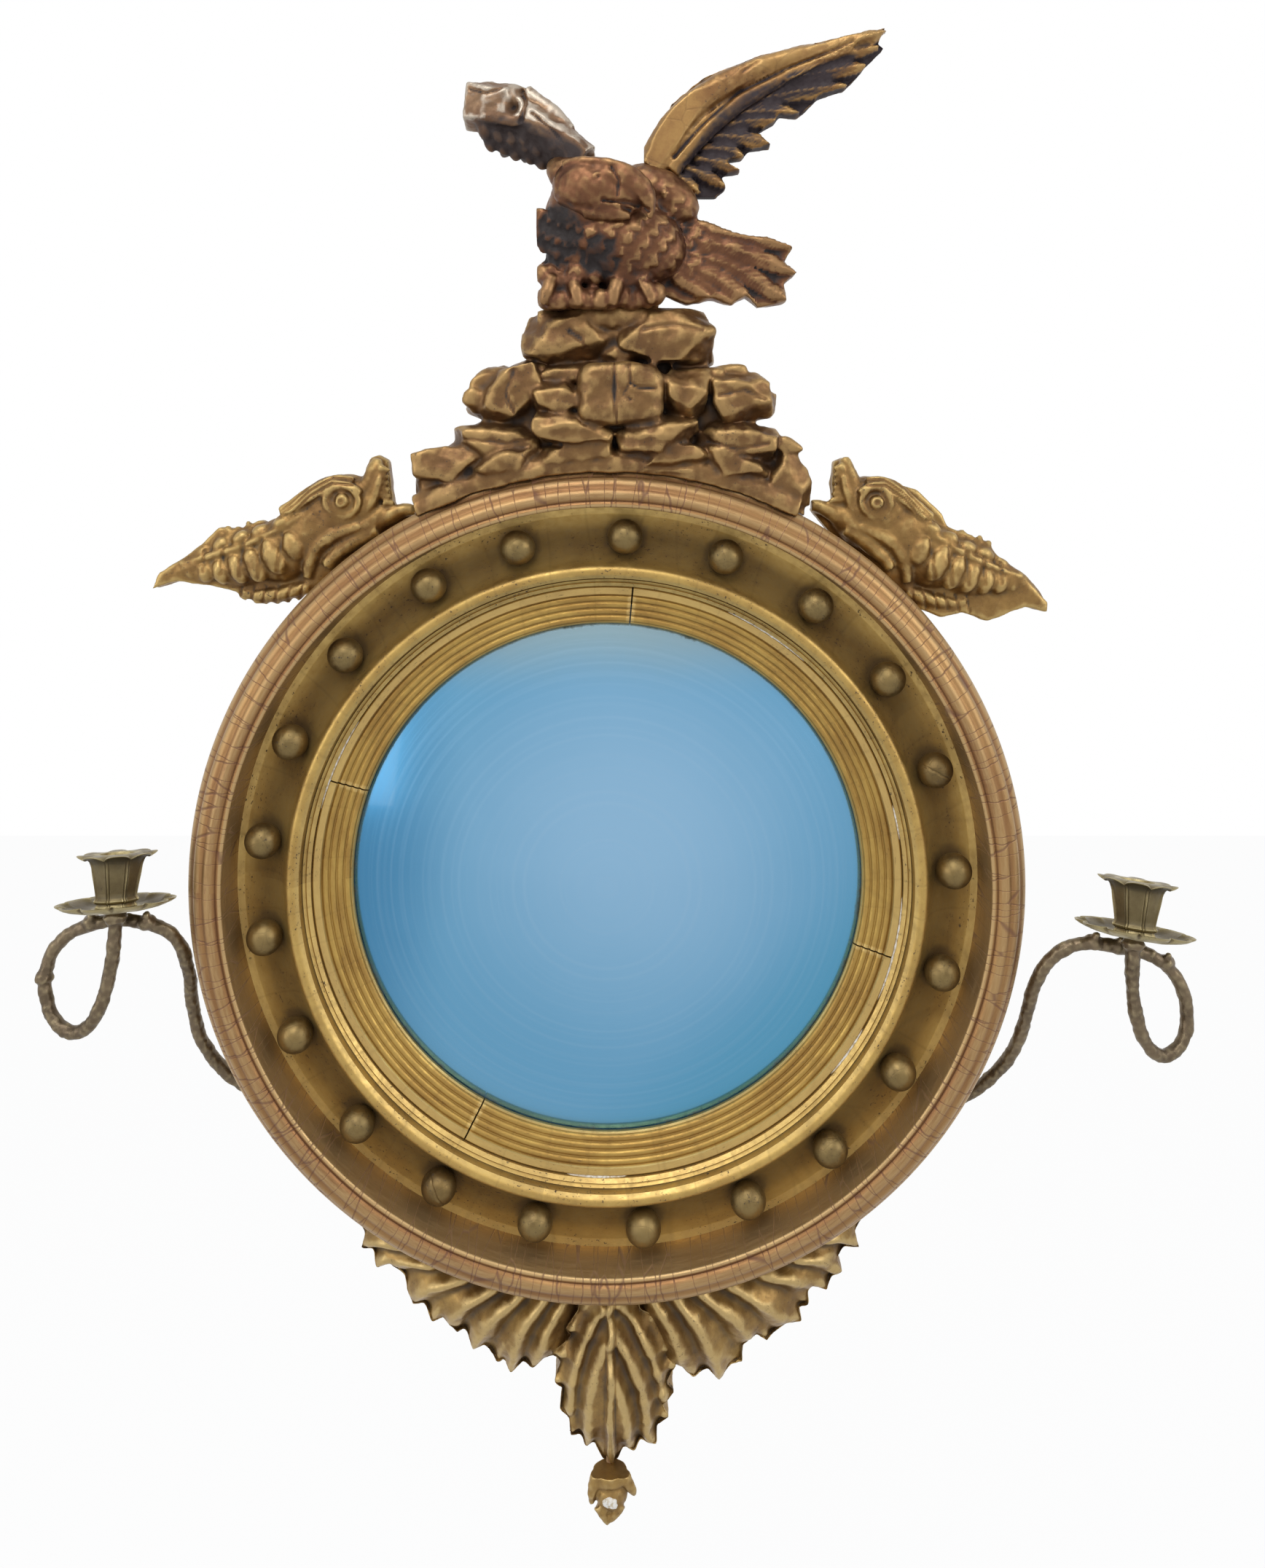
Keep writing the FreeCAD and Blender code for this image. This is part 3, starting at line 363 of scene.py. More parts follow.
tone = blend_colours(g, span(g, patches.outputs["Fac"], 0.36, 0.66), given["Leaf"], given["Tarnish"])
tone = blend_colours(g, span(g, flecks.outputs["Fac"], 0.3, 0.72, 0.0, 0.55), tone, given["Tarnish"])
tone = blend_colours(g, edge, tone, given["Edge"])
tone = blend_colours(g, dirt_and_shade_mask, tone, given["Grime"])
speck_field = span(g, patches.outputs["Fac"], 0.42, 0.6)
speck = sums(g, "MULTIPLY", span(g, dots.outputs["Fac"], 0.6, 0.68), speck_field)
speck = sums(g, "MULTIPLY", speck, given["Specks"], True)
tone = blend_colours(g, speck, tone, given["Grime"])
net = put(g, "TexVoronoi", {"feature": "DISTANCE_TO_EDGE"}, Vector=given["Crack Pattern"],
          Scale=given["Crack Size"], Randomness=1.0)
crack = sums(g, "MULTIPLY", span(g, net.outputs["Distance"], 0.035, 0.0), given["Crack Depth"], True)
g.links.new(blend_colours(g, crack, tone, given["Grime"]), result["Colour"])
dull = sums(g, "MAXIMUM", sums(g, "MAXIMUM", dirt_and_shade_mask, speck), crack)
rough = sums(g, "ADD", span(g, flecks.outputs["Fac"], 0.3, 0.7, 0.34, 0.52), sums(g, "MULTIPLY", dull, 0.3))
g.links.new(rough, result["Roughness"])
g.links.new(span(g, dull, 0.0, 1.0, 0.8, 0.1), result["Metallic"])
bumps = sums(g, "MULTIPLY", flecks.outputs["Fac"], 0.25)
bumps = sums(g, "ADD", bumps, sums(g, "MULTIPLY", dots.outputs["Fac"], 0.1))
g.links.new(sums(g, "SUBTRACT", bumps, crack), result["Height"])
print("gilding group has", len(g.nodes), "nodes")

# %% [markdown]
# The cracks and streaks of a turned ring run with its turning. This group unrolls the ring: it
# gives the length along the rim, the radius and the depth, so that any texture can follow them.

# %% Coordinates along the rim
along_the_rim, given, result = new_group(
    "along_the_rim", [("Place", "vector"), ("Squeeze Along", "number"), ("Squeeze Across", "number")],
    [("Vector", "vector")])
g = along_the_rim
parts = put(g, "SeparateXYZ", _0=given["Place"]).outputs
turn = sums(g, "ARCTAN2", parts[2], parts[0])
square = sums(g, "ADD", sums(g, "MULTIPLY", parts[0], parts[0]), sums(g, "MULTIPLY", parts[2], parts[2]))
radius = sums(g, "SQRT", square)
along = sums(g, "MULTIPLY", sums(g, "MULTIPLY", turn, 0.26), given["Squeeze Along"])
across = sums(g, "MULTIPLY", radius, given["Squeeze Across"])
deep = sums(g, "MULTIPLY", parts[1], given["Squeeze Across"])
g.links.new(put(g, "CombineXYZ", _0=along, _1=across, _2=deep).outputs[0], result["Vector"])


# The third colour is a paler painted highlight on raised crowns and edges; the fourth is a dark colour for
# specks, cracks and dirt and for painted shade in the hollows.
def gilded(name, leaf, tarnish, edge, grime, wear=0.6, deep_dirt_and_shade=0.8, specks=0.6, cracks=0.0,
           crack_size=60.0, turned=None):
    """A gilded finish. turned gives how streaks and cracks are squeezed along and across a ring."""
    material, tree, shader = blank_finish(name)
    place = put(tree, "TexCoord").outputs["Object"]
    pattern, crack_pattern = place, place
    if turned:
        pattern, crack_pattern = [
            put(tree, "Group", {"node_tree": along_the_rim}, Place=place, Squeeze_Along=lengthwise,
                Squeeze_Across=crosswise).outputs[0] for lengthwise, crosswise in turned]
    gilding = put(tree, "Group", {"node_tree": old_gilding}, Pattern=pattern, Crack_Pattern=crack_pattern,
                  Leaf=(*leaf, 1), Tarnish=(*tarnish, 1), Edge=(*edge, 1), Grime=(*grime, 1),
                  Edge_Wear=wear, Hollow_Grime=deep_dirt_and_shade, Specks=specks, Crack_Depth=cracks,
                  Crack_Size=crack_size)
    dent = put(tree, "Bump", Strength=0.35, Distance=0.0012, Height=gilding.outputs["Height"])
    wire(tree, shader, Base_Color=gilding.outputs["Colour"], Roughness=gilding.outputs["Roughness"],
         Metallic=gilding.outputs["Metallic"], Normal=dent.outputs[0])
    return material


# %% [markdown]
# One finish for each gilded part, with four colours: leaf, tarnish, a paler painted highlight for the
# crowns and edges, and a dark colour for dirt and cracks and for painted shade in the hollows. The
# outer moulding is muted brown gold with a dark red brown for clay and painted shade in its grooves
# and for its cracks, the hollow ring and the slip are yellow gold, the balls are dark bronze, the eagle
# is red brown, and the leaves are antique gold with a paler painted highlight on their edges.

# %% Gilded finishes
rim_gold = gilded("rim_gold", (0.34, 0.195, 0.075), (0.23, 0.115, 0.045), (0.52, 0.36, 0.17),
                  (0.12, 0.04, 0.022), wear=0.7, deep_dirt_and_shade=1.0, specks=0.5, cracks=0.6, crack_size=110.0,
                  turned=((0.35, 3.0), (1.0, 0.1)))
cove_gold = gilded("cove_gold", (0.52, 0.35, 0.105), (0.35, 0.215, 0.06), (0.62, 0.46, 0.19),
                   (0.05, 0.028, 0.012), wear=0.3, deep_dirt_and_shade=0.8, specks=1.3, cracks=0.12, crack_size=24.0,
                   turned=((0.8, 1.2), (1.0, 0.25)))
slip_gold = gilded("slip_gold", (0.46, 0.30, 0.08), (0.31, 0.18, 0.045), (0.62, 0.45, 0.18),
                   (0.08, 0.04, 0.014), wear=0.5, deep_dirt_and_shade=1.2, specks=0.7, cracks=0.10, crack_size=26.0,
                   turned=((0.5, 2.5), (1.0, 0.25)))
ball_bronze = gilded("ball_bronze", (0.20, 0.13, 0.045), (0.10, 0.065, 0.025), (0.34, 0.25, 0.10),
                     (0.03, 0.018, 0.01), wear=0.5, deep_dirt_and_shade=0.6, specks=0.9, cracks=0.1, crack_size=70.0)
rock_gold = gilded("rock_gold", (0.21, 0.115, 0.042), (0.13, 0.066, 0.027), (0.42, 0.27, 0.105),
                   (0.022, 0.012, 0.007), wear=0.6, deep_dirt_and_shade=1.1)
eagle_gold = gilded("eagle_gold", (0.18, 0.08, 0.036), (0.105, 0.043, 0.022), (0.40, 0.24, 0.10),
                    (0.014, 0.008, 0.007), wear=0.5, deep_dirt_and_shade=1.3)
wing_gold = gilded("wing_gold", (0.33, 0.19, 0.065), (0.19, 0.095, 0.036), (0.48, 0.31, 0.12),
                   (0.022, 0.012, 0.014), wear=0.5, deep_dirt_and_shade=1.3, cracks=0.12, crack_size=34.0)
stump_grey = gilded("stump_grey", (0.24, 0.15, 0.085), (0.13, 0.07, 0.04), (0.50, 0.44, 0.36),
                    (0.025, 0.014, 0.012), wear=0.75, deep_dirt_and_shade=1.3)
dolphin_gold = gilded("dolphin_gold", (0.28, 0.165, 0.052), (0.17, 0.09, 0.03), (0.54, 0.38, 0.145),
                      (0.03, 0.018, 0.009), wear=0.65, deep_dirt_and_shade=1.2, specks=0.8, cracks=0.06)
leaf_gold = gilded("leaf_gold", (0.36, 0.23, 0.075), (0.21, 0.12, 0.04), (0.56, 0.41, 0.18),
                   (0.05, 0.028, 0.012), wear=0.7, deep_dirt_and_shade=0.9, cracks=0.06)
arm_brass = gilded("arm_brass", (0.19, 0.14, 0.085), (0.11, 0.08, 0.05), (0.36, 0.29, 0.17),
                   (0.03, 0.021, 0.014), wear=0.7, deep_dirt_and_shade=1.0)
cup_brass = gilded("cup_brass", (0.22, 0.175, 0.085), (0.135, 0.10, 0.05), (0.42, 0.35, 0.18),
                   (0.03, 0.023, 0.013), wear=0.7, deep_dirt_and_shade=1.0)
print(len(bpy.data.materials), "finishes")

# %% [markdown]
# The frame is lathe work: three rings of gilded pine, each turned from one section. A section is
# drawn as a circle whose points are moved to the section's corners, and the spin tool carries it
# round the glass. Curved reeds are sampled finely so that they catch the light as one line.

# %% Section tools
def arc(start, end, radius, steps):
    """Points from start to end on an arc that bulges to the left of its travel."""
    start, end = Vector(start), Vector(end)
    half = (end - start).length / 2
    rise = math.sqrt(radius * radius - half * half)
    across = Vector((start.y - end.y, end.x - start.x)).normalized() * math.copysign(1, radius)
    centre = (start + end) / 2 - across * rise
    begin = math.atan2(start.y - centre.y, start.x - centre.x)
    finish = math.atan2(end.y - centre.y, end.x - centre.x)
    sweep = (finish - begin + math.pi) % (2 * math.pi) - math.pi
    points = []
    for step in range(steps):
        angle = begin + sweep * (step / steps)
        points.append((centre.x + abs(radius) * math.cos(angle), centre.y + abs(radius) * math.sin(angle)))
    return points


def section_points(corners, rounds, steps):
    """The section's corners with its arcs divided. Corners are (radius, depth)."""
    points = []
    for number, corner in enumerate(corners):
        following = corners[(number + 1) % len(corners)]
        if number in rounds:
            points += arc(corner, following, rounds[number], steps)
        else:
            points.append(corner)
    return points


def turn_ring(name, points, first=0.0, last=360.0, steps=360):
    """Spin a section round the glass from one angle to another."""
    clear_bench()
    bpy.ops.mesh.primitive_circle_add(vertices=len(points), radius=0.01, fill_type="NOTHING")
    ring = bpy.context.object
    for vertex, (radius, depth) in zip(ring.data.vertices, points):
        vertex.co = round_the_rim(radius, first, depth)
    whole = last - first >= 360
    open_up(ring)
    bpy.ops.mesh.select_all(action="SELECT")
    if not whole:
        bpy.ops.mesh.edge_face_add()
    bpy.ops.mesh.spin(steps=steps, angle=math.radians(last - first), center=(0, 0, 0), axis=(0, 1, 0))
    clear_bench()
    if not whole:
        bm = open_up(ring)
        loops = [edge for edge in bm.edges if edge.is_boundary]
        for edge in loops:
            edge.select_set(True)
        if loops:
            bpy.ops.mesh.edge_face_add()
        clear_bench()
    outwards(ring, 0.000002)
    return smooth(ring, 32)


# %% [markdown]
# The outer moulding is a bundle of four reeds round the edge, with a fine quirk between each two.
# The reeds are a little flattened by hand scraping, and shrinking has opened hair cracks across
# them. The relief is measured on this ring as on a carving: it finds the reeds' crowns, which get
# the paler painted highlight. The inner wall is raised in the measure, so that it takes little of
# the hollows' dark colour and some of the painted highlight, as bright as the hollow ring beside it.

# %% Outer moulding
INNER_WALL_RADIUS = 0.273
INNER_WALL_LIFT = 0.6
moulding_points = section_points(
    [(271, 28), (271, 72.3), (274.6, 73.4), (275.4, 73.0), (284.2, 73.6), (285.2, 73.0),
     (292.6, 66.4), (293.2, 65.2), (298.2, 50), (297, 40), (292, 28)],
    {1: 2.2, 3: 5.4, 5: 7.0, 7: 11}, 7)
moulding = turn_ring("rim", moulding_points, steps=400)
note_relief(moulding, 10)
for vertex, kept in zip(moulding.data.vertices, moulding.data.attributes["relief"].data):
    if math.hypot(vertex.co.x, vertex.co.z) < INNER_WALL_RADIUS:
        kept.value += INNER_WALL_LIFT
hang(moulding, "reeded_moulding", "frame", rim_gold, "frame_gilding", "outer_moulding")

# %% [markdown]
# The hollow ring holds the balls. Its inner edge is a rounded bead over a flat band with two fine
# scratched lines. Its outer corner, under the rim, and a ring round every ball get a painted shadow.
# That shadow follows the shape and not the relief, so it is painted on the ring's points by their
# distance from the corner and the balls.

# %% Hollow ring
ball_angles = (105, 87, 70, 53, 36, 19, 2, -15, -33, -50, -66,
               -84, -102, -119, -136, -154, -171, 173, 156, 139, 121)
BALL_CIRCLE = 250
BALL_RADIUS = 0.013
BALL_DEPTH = 50.6
cove_points = section_points(
    [(214, 30), (214, 49), (216.5, 51.2), (217.0, 50.6), (217.4, 51.4), (219.0, 52.6), (219.4, 52.0),
     (219.8, 53.2), (220.2, 58.6), (222, 60.3), (229, 59.8), (230.2, 57.4), (271, 36), (271, 30)],
    {9: 4.4, 11: -34}, 9)
cove = turn_ring("cove", cove_points, steps=420)
note_relief(cove, 10)
ball_seats = [round_the_rim(BALL_CIRCLE, angle, 40) for angle in ball_angles]
for vertex, kept in zip(cove.data.vertices, cove.data.attributes["relief"].data):
    radius = math.hypot(vertex.co.x, vertex.co.z) * 1000
    if radius < 231:
        continue
    nearest = min((vertex.co - seat).length for seat in ball_seats) * 1000
    # A painted shadow under the rim's edge and round each ball, laid in as a lower relief.
    painted_shadow = 0.6 * max(0.0, min(1.0, (radius - 262) / 9)) + max(0.0, min(1.0, (17 - nearest) / 4))
    kept.value -= 0.7 * min(1.2, painted_shadow)
hang(cove, "ball_ring", "frame", cove_gold, "frame_gilding", "cove_ring")

# %% [markdown]
# The balls were turned by hand, so no two are quite round. Each ball is a sphere pushed out of
# true by a slow noise of its own and set round the ring with a different turn each time. Two of
# them have split along the grain, as the real ones have.

# %% Gilt balls
def turned_ball(seed):
    """A slightly uneven ball of 26 mm about the origin."""
    clear_bench()
    bpy.ops.mesh.primitive_uv_sphere_add(segments=40, ring_count=24, radius=BALL_RADIUS)
    ball = bpy.context.object
    for vertex in ball.data.vertices:
        push = noise.noise(vertex.co * 60 + Vector((seed * 7.3, seed, 0)))
        vertex.co *= 1 + 0.02 * push - 0.012
    return smooth(ball, 60)


def split_ball(ball, tilt):
    """Open a shaky crack across the front of a ball."""
    for vertex in ball.data.vertices:
        across = vertex.co.z * math.cos(tilt) + vertex.co.x * math.sin(tilt)
        wander = 0.0009 * noise.noise(vertex.co * 210)
        nearness = math.exp(-((across - wander) / 0.0007) ** 2)
        vertex.co *= 1 - 0.07 * nearness * max(0.0, -vertex.co.y / BALL_RADIUS)


balls = []
for number, angle in enumerate(ball_angles):
    one = turned_ball(number)
    if angle in (19, -119):
        work(one, "SUBSURF", levels=2, render_levels=2)
        split_ball(one, 0.25 if angle == 19 else -0.08)
    centre = round_the_rim(BALL_CIRCLE, angle, BALL_DEPTH)
    one.data.transform(Matrix.Translation(centre) @ Matrix.Rotation(number * 1.3, 4, (0, 1, 0)))
    balls.append(one)
balls = weld(*balls)
note_relief(balls, 6)
# The back of each ball, where it sits down in the hollow ring, gets a lower relief and so a painted shade.
for vertex, kept in zip(balls.data.vertices, balls.data.attributes["relief"].data):
    kept.value += 0.1 - 1.1 * max(0.0, 1 - (-vertex.co.y * 1000 - 37) / 9)
hang(balls, "gilt_balls", "frame", ball_bronze, "frame_gilding", "ball_ornaments")

# %% [markdown]
# The reeded slip lies inside the hollow ring and holds the glass. It is nailed up from four curved
# lengths, and each joint has opened to a dark line, so the four stay separate pieces with a gap
# of about a third of a degree between them and a face at both ends of each.

# %% Reeded slip
HALF_JOINT = 0.16
slip_corners = [(200, 30), (186, 35), (186, 37.6), (187, 39)]
slip_rounds = {}
for reed in range(4):
    left, low = 187.2 + 5 * reed, 39 + 1.5 * reed
    slip_rounds[len(slip_corners)] = 2.75
    slip_corners += [(left + 0.2, low), (left + 4.6, low + 1.35)]
slip_corners += [(207.3, 45.8), (208, 47), (212.6, 47.4), (213.6, 46.6), (213.6, 30)]
slip_points = section_points(slip_corners, slip_rounds, 8)
slip_lengths = {"slip_upper_left": (85, 160), "slip_lower_left": (160, 241),
                "slip_bottom": (241, 345), "slip_right": (345, 445)}
for node, (first, last) in slip_lengths.items():
    length = turn_ring(node, slip_points, first + HALF_JOINT, last - HALF_JOINT,
                       int((last - first) * 1.1))
    note_relief(length, 5)
    hang(length, node + "_reeds", "frame", slip_gold, "slip_gilding", node)

# %% [markdown]
# Between the slip and the hollow ring the gilding has come away in places, and a thread of white
# gesso shows. It is a thin spun fillet whose thickness swells and dies out along its length.

# %% Gesso thread
THREAD_DEPTH = 0.0464
THREAD_RADIUS = 0.2136
gesso, tree, shader = blank_finish("white_gesso")
place = put(tree, "TexCoord").outputs["Object"]
grain = put(tree, "TexNoise", Vector=place, Scale=420.0, Detail=4.0).outputs["Fac"]
chalk = blend_colours(tree, span(tree, grain, 0.4, 0.65), (0.82, 0.79, 0.72, 1), (0.55, 0.46, 0.32, 1))
dent = put(tree, "Bump", Strength=0.4, Distance=0.0005, Height=grain)
wire(tree, shader, Base_Color=chalk, Normal=dent.outputs[0])
shader.inputs["Roughness"].default_value = 0.85

threads = []
for first, last in ((147, 166), (-24, -3), (8, 15), (48, 66), (-41, -30), (262, 274)):
    thread = turn_ring("thread", [(212.8, 46.4), (214.4, 46.4), (214.4, 48.9), (212.8, 48.9)],
                       first, last, int(last - first) * 2)
    for vertex in thread.data.vertices:
        angle = math.degrees(math.atan2(vertex.co.z, vertex.co.x))
        share = ((angle - first) % 360) / (last - first)
        thickness = max(0.0, math.sin(math.pi * min(1.0, share))) ** 0.6
        thickness *= 0.75 + 0.4 * noise.noise(Vector((angle * 0.9, 0, 0)))
        radius = math.hypot(vertex.co.x, vertex.co.z)
        vertex.co.y = -THREAD_DEPTH + (vertex.co.y + THREAD_DEPTH) * thickness
        drawn = THREAD_RADIUS + (radius - THREAD_RADIUS) * thickness
        vertex.co.x *= drawn / radius
        vertex.co.z *= drawn / radius
    threads.append(thread)
threads = weld(*threads)
hang(threads, "gesso_threads", "frame", gesso, "slip_gilding")

# %% [markdown]
# The glass is a shallow silvered dome. It is blue. Its paler middle, the deeper blue towards the
# left and the lower right, the grey green veil along its upper edge and its faint rings are a
# painted reflection. It is spun from half a section whose arc has the dome's real radius, and the
# two ends on the axis are merged so that the crown has no hole.

# %% Convex glass
DOME = (200 * 200 + 30 * 30) / 60
GLASS_RADIUS = 199.6
GLASS_BACK = 27.5
dome_points = []
for step in range(33):
    radius = GLASS_RADIUS * step / 32
    dome_points.append((radius, 60 - DOME + math.sqrt(DOME * DOME - radius * radius)))
dome_points += [(GLASS_RADIUS, GLASS_BACK), (100, GLASS_BACK), (0, GLASS_BACK)]
glass = turn_ring("glass", dome_points, steps=144)

silver, tree, shader = blank_finish("aged_silvering")
place = put(tree, "TexCoord").outputs["Object"]
parts = put(tree, "SeparateXYZ", _0=place).outputs
reach = put(tree, "VectorMath", {"operation": "LENGTH"},
            _0=put(tree, "CombineXYZ", _0=parts[0], _2=parts[2]).outputs[0]).outputs["Value"]
cloud = put(tree, "TexNoise", Vector=place, Scale=5.0, Detail=4.0, Roughness=0.55)
drift = sums(tree, "SUBTRACT", cloud.outputs["Fac"], 0.5)
# A painted reflection: paler in the middle, deeper blue to the left and the lower right, a grey green veil at the
# top and faint rings.
pale = put(tree, "VectorMath", {"operation": "DISTANCE"}, _0=place, _1=(0.02, -0.05, 0.03)).outputs["Value"]
pale = sums(tree, "ADD", pale, sums(tree, "MULTIPLY", drift, 0.06))
blue_and_painted_reflection = blend_colours(tree, span(tree, pale, 0.02, 0.19), (0.23, 0.43, 0.62, 1), (0.10, 0.31, 0.50, 1))
left = sums(tree, "ADD", parts[0], sums(tree, "MULTIPLY", drift, 0.09))
blue_and_painted_reflection = blend_colours(tree, span(tree, left, -0.10, -0.19), blue_and_painted_reflection, (0.035, 0.20, 0.38, 1))
low = sums(tree, "SUBTRACT", sums(tree, "MULTIPLY", parts[0], 0.7), sums(tree, "MULTIPLY", parts[2], 0.75))
blue_and_painted_reflection = blend_colours(tree, span(tree, low, 0.10, 0.19, 0.0, 0.85), blue_and_painted_reflection, (0.05, 0.27, 0.44, 1))
high = sums(tree, "ADD", parts[2], sums(tree, "MULTIPLY", drift, 0.05))
blue_and_painted_reflection = blend_colours(tree, span(tree, high, 0.13, 0.19, 0.0, 0.75), blue_and_painted_reflection, (0.29, 0.37, 0.36, 1))
rings = put(tree, "TexNoise", {"noise_dimensions": "1D"}, W=reach, Scale=230.0, Detail=3.0)
blue_and_painted_reflection = blend_colours(tree, span(tree, rings.outputs["Fac"], 0.45, 0.75, 0.0, 0.08), blue_and_painted_reflection,
                     (0.36, 0.52, 0.66, 1))
rot = put(tree, "TexNoise", Vector=place, Scale=70.0, Detail=6.0, Roughness=0.7)
border = sums(tree, "ADD", reach, sums(tree, "MULTIPLY", rot.outputs["Fac"], 0.012))
lost = span(tree, border, 0.1895, 0.1935)
tree.links.new(blend_colours(tree, lost, blue_and_painted_reflection, (0.07, 0.10, 0.08, 1)), shader.inputs["Base Color"])
tree.links.new(span(tree, lost, 0.0, 1.0, 0.82, 0.2), shader.inputs["Metallic"])
mist = sums(tree, "ADD", span(tree, rings.outputs["Fac"], 0.4, 0.7, 0.18, 0.22),
            sums(tree, "MULTIPLY", lost, 0.4))
tree.links.new(mist, shader.inputs["Roughness"])
waves = put(tree, "Bump", Strength=0.03, Distance=0.0002, Height=rings.outputs["Fac"])
tree.links.new(waves.outputs[0], shader.inputs["Normal"])
shader.inputs["Coat Weight"].default_value = 0.6
shader.inputs["Coat Roughness"].default_value = 0.05
hang(glass, "convex_mirror", "frame", silver, "mirror_glass", "convex_glass")

# %% [markdown]
# The ornaments are carved, and a carver works in the same order each time: rough masses first,
# then the big creases, then the veins and feathers. Rough masses are spheres, cones and tapered
# strands pushed into each other. A voxel remesh then turns the heap into one closed skin, as wet
# clay would be, and a little smoothing takes off the steps. Boolean unions could do this too, but
# they leave hard seams where a gouge would leave a soft one.

# %% Rough masses
def mass(x, z, depth, across, up, out, lean=0.0):
    """A rounded mass with its half sizes in millimetres; lean turns it in the wall's plane."""
    clear_bench()
    bpy.ops.mesh.primitive_uv_sphere_add(segments=28, ring_count=18, radius=1)
    thing = bpy.context.object
    turn = Matrix.Rotation(math.radians(-lean), 4, "Y")
    scale = Matrix.Diagonal((across * MM, out * MM, up * MM, 1))
    thing.data.transform(Matrix.Translation(spot(x, z, depth)) @ turn @ scale)
    return thing


def strand(points, smoothness=4):
    """A round tapered strand through control points of (x, z, depth, radius)."""
    clear_bench()
    bpy.ops.curve.primitive_nurbs_path_add()
    path = bpy.context.object
    path.data.splines.clear()
    line = path.data.splines.new("NURBS")
    line.points.add(len(points) - 1)
    for point, (x, z, depth, radius) in zip(line.points, points):
        point.co = (*spot(x, z, depth), 1)
        point.radius = radius * MM
    line.use_endpoint_u = True
    line.order_u = min(4, len(points))
    line.resolution_u = smoothness
    path.data.bevel_depth = 1.0
    path.data.bevel_resolution = 4
    path.data.use_fill_caps = True
    bpy.ops.object.convert(target="MESH")
    return bpy.context.object


def board(outline, back, front):
    """A board sawn to an outline of (x, z) points, between two depths."""
    clear_bench()
    bpy.ops.mesh.primitive_circle_add(vertices=len(outline), radius=0.01, fill_type="NGON")
    thing = bpy.context.object
    for vertex, (x, z) in zip(thing.data.vertices, outline):
        vertex.co = spot(x, z, back)
    open_up(thing)
    bpy.ops.mesh.select_all(action="SELECT")
    bpy.ops.mesh.extrude_region_move(TRANSFORM_OT_translate={"value": (0, -(front - back) * MM, 0)})
    clear_bench()
    return outwards(thing)


def clay(parts, voxel=1.6, softness=3):
    """Fuse rough masses into one skin and take off the steps."""
    lump = weld(*parts)
    work(lump, "REMESH", mode="VOXEL", voxel_size=voxel * MM, use_smooth_shade=True)
    return work(lump, "SMOOTH", factor=0.5, iterations=softness)


# %% [markdown]
# Veins, flutes and feathers are cut into the front of a mass. Each is a rule that gives a height
# for any place on the front, worked out for all points of the skin at once, and the chisel moves
# the points that face forward by that height. A feather lies over its neighbours, so where several
# rules meet, the highest one wins.

# %% Chisels
def places(thing):
    """The points of a mesh as x, z and depth in millimetres, and how far each faces forward."""
    place = read_points(thing) * 1000
    return place[:, 0], place[:, 2], -place[:, 1], -read_points(thing, "normal")[:, 1]


def chisel(thing, rule, softness=1, grip=(-0.1, 0.5)):
    """Move the points that face forward by the rule's height in millimetres."""
    x, z, depth, facing = places(thing)
    share = np.clip((facing - grip[0]) / (grip[1] - grip[0]), 0, 1)
    depth = depth + rule(x, z) * share
    write_points(thing, np.stack([x, -depth, z], 1) * MM)
    if softness:
        work(thing, "SMOOTH", factor=0.5, iterations=softness)
    return thing


def near_line(line, x, z, closed=False):
    """How far each place is from a line of points, and its share along the line."""
    line = list(line) + ([line[0]] if closed else [])
    lengths = [math.dist(a, b) for a, b in zip(line, line[1:])]
    whole, start = sum(lengths), 0.0
    best = np.full(x.shape, 1e9)
    share = np.zeros(x.shape)
    for (ax, az), (bx, bz), length in zip(line, line[1:], lengths):
        along = np.clip(((x - ax) * (bx - ax) + (z - az) * (bz - az)) / length ** 2, 0, 1)
        gap = np.hypot(x - ax - along * (bx - ax), z - az - along * (bz - az))
        closer = gap < best
        best = np.where(closer, gap, best)
        share = np.where(closer, (start + along * length) / whole, share)
        start += length
    return best, share


def swell(outline, rise, reach):
    """A rule that rounds a board's face down to its edge."""
    def rule(x, z):
        gap, _ = near_line(outline, x, z, closed=True)
        return rise * (1 - np.exp(-gap / reach)) - rise * 0.35
    return rule


def feather(line, width, low, high, quill=0.7, barbs=0.35):
    """A rule for one feather, from root to tip, that rises towards its tip."""
    def rule(x, z):
        gap, share = near_line(line, x, z)
        point = 1 - ((share - 0.55) / 0.45) ** 2 * (share > 0.55)
        half = width / 2 * np.clip(0.75 + share, 0, 1) * np.sqrt(np.clip(point, 0.04, 1))
        crown = 1 - (gap / half) ** 2
        height = low + (high - low) * share + 1.7 * crown
        height = height + quill * np.exp(-(gap / 1.1) ** 2)
        along = share * math.dist(line[0], line[-1])
        height = height + barbs * np.sin((gap * 1.1 - along * 0.55) * 2.2)
        return np.where(gap < half, height, -50.0)
    return rule


def highest(rules, floor):
    """The highest of several rules at each place."""
    def rule(x, z):
        top = np.full(x.shape, floor)
        for one in rules:
            top = np.maximum(top, one(x, z))
        return top
    return rule


def ridge(line, height, width, taper=0.3):
    """A rule for a raised vein, or a cut if the height is negative, that fades along its length."""
    def rule(x, z):
        gap, share = near_line(line, x, z)
        return height * (1 - (1 - taper) * share) * np.exp(-(gap / width) ** 2)
    return rule


def together(rules):
    """The sum of several rules."""
    def rule(x, z):
        return sum(one(x, z) for one in rules)
    return rule


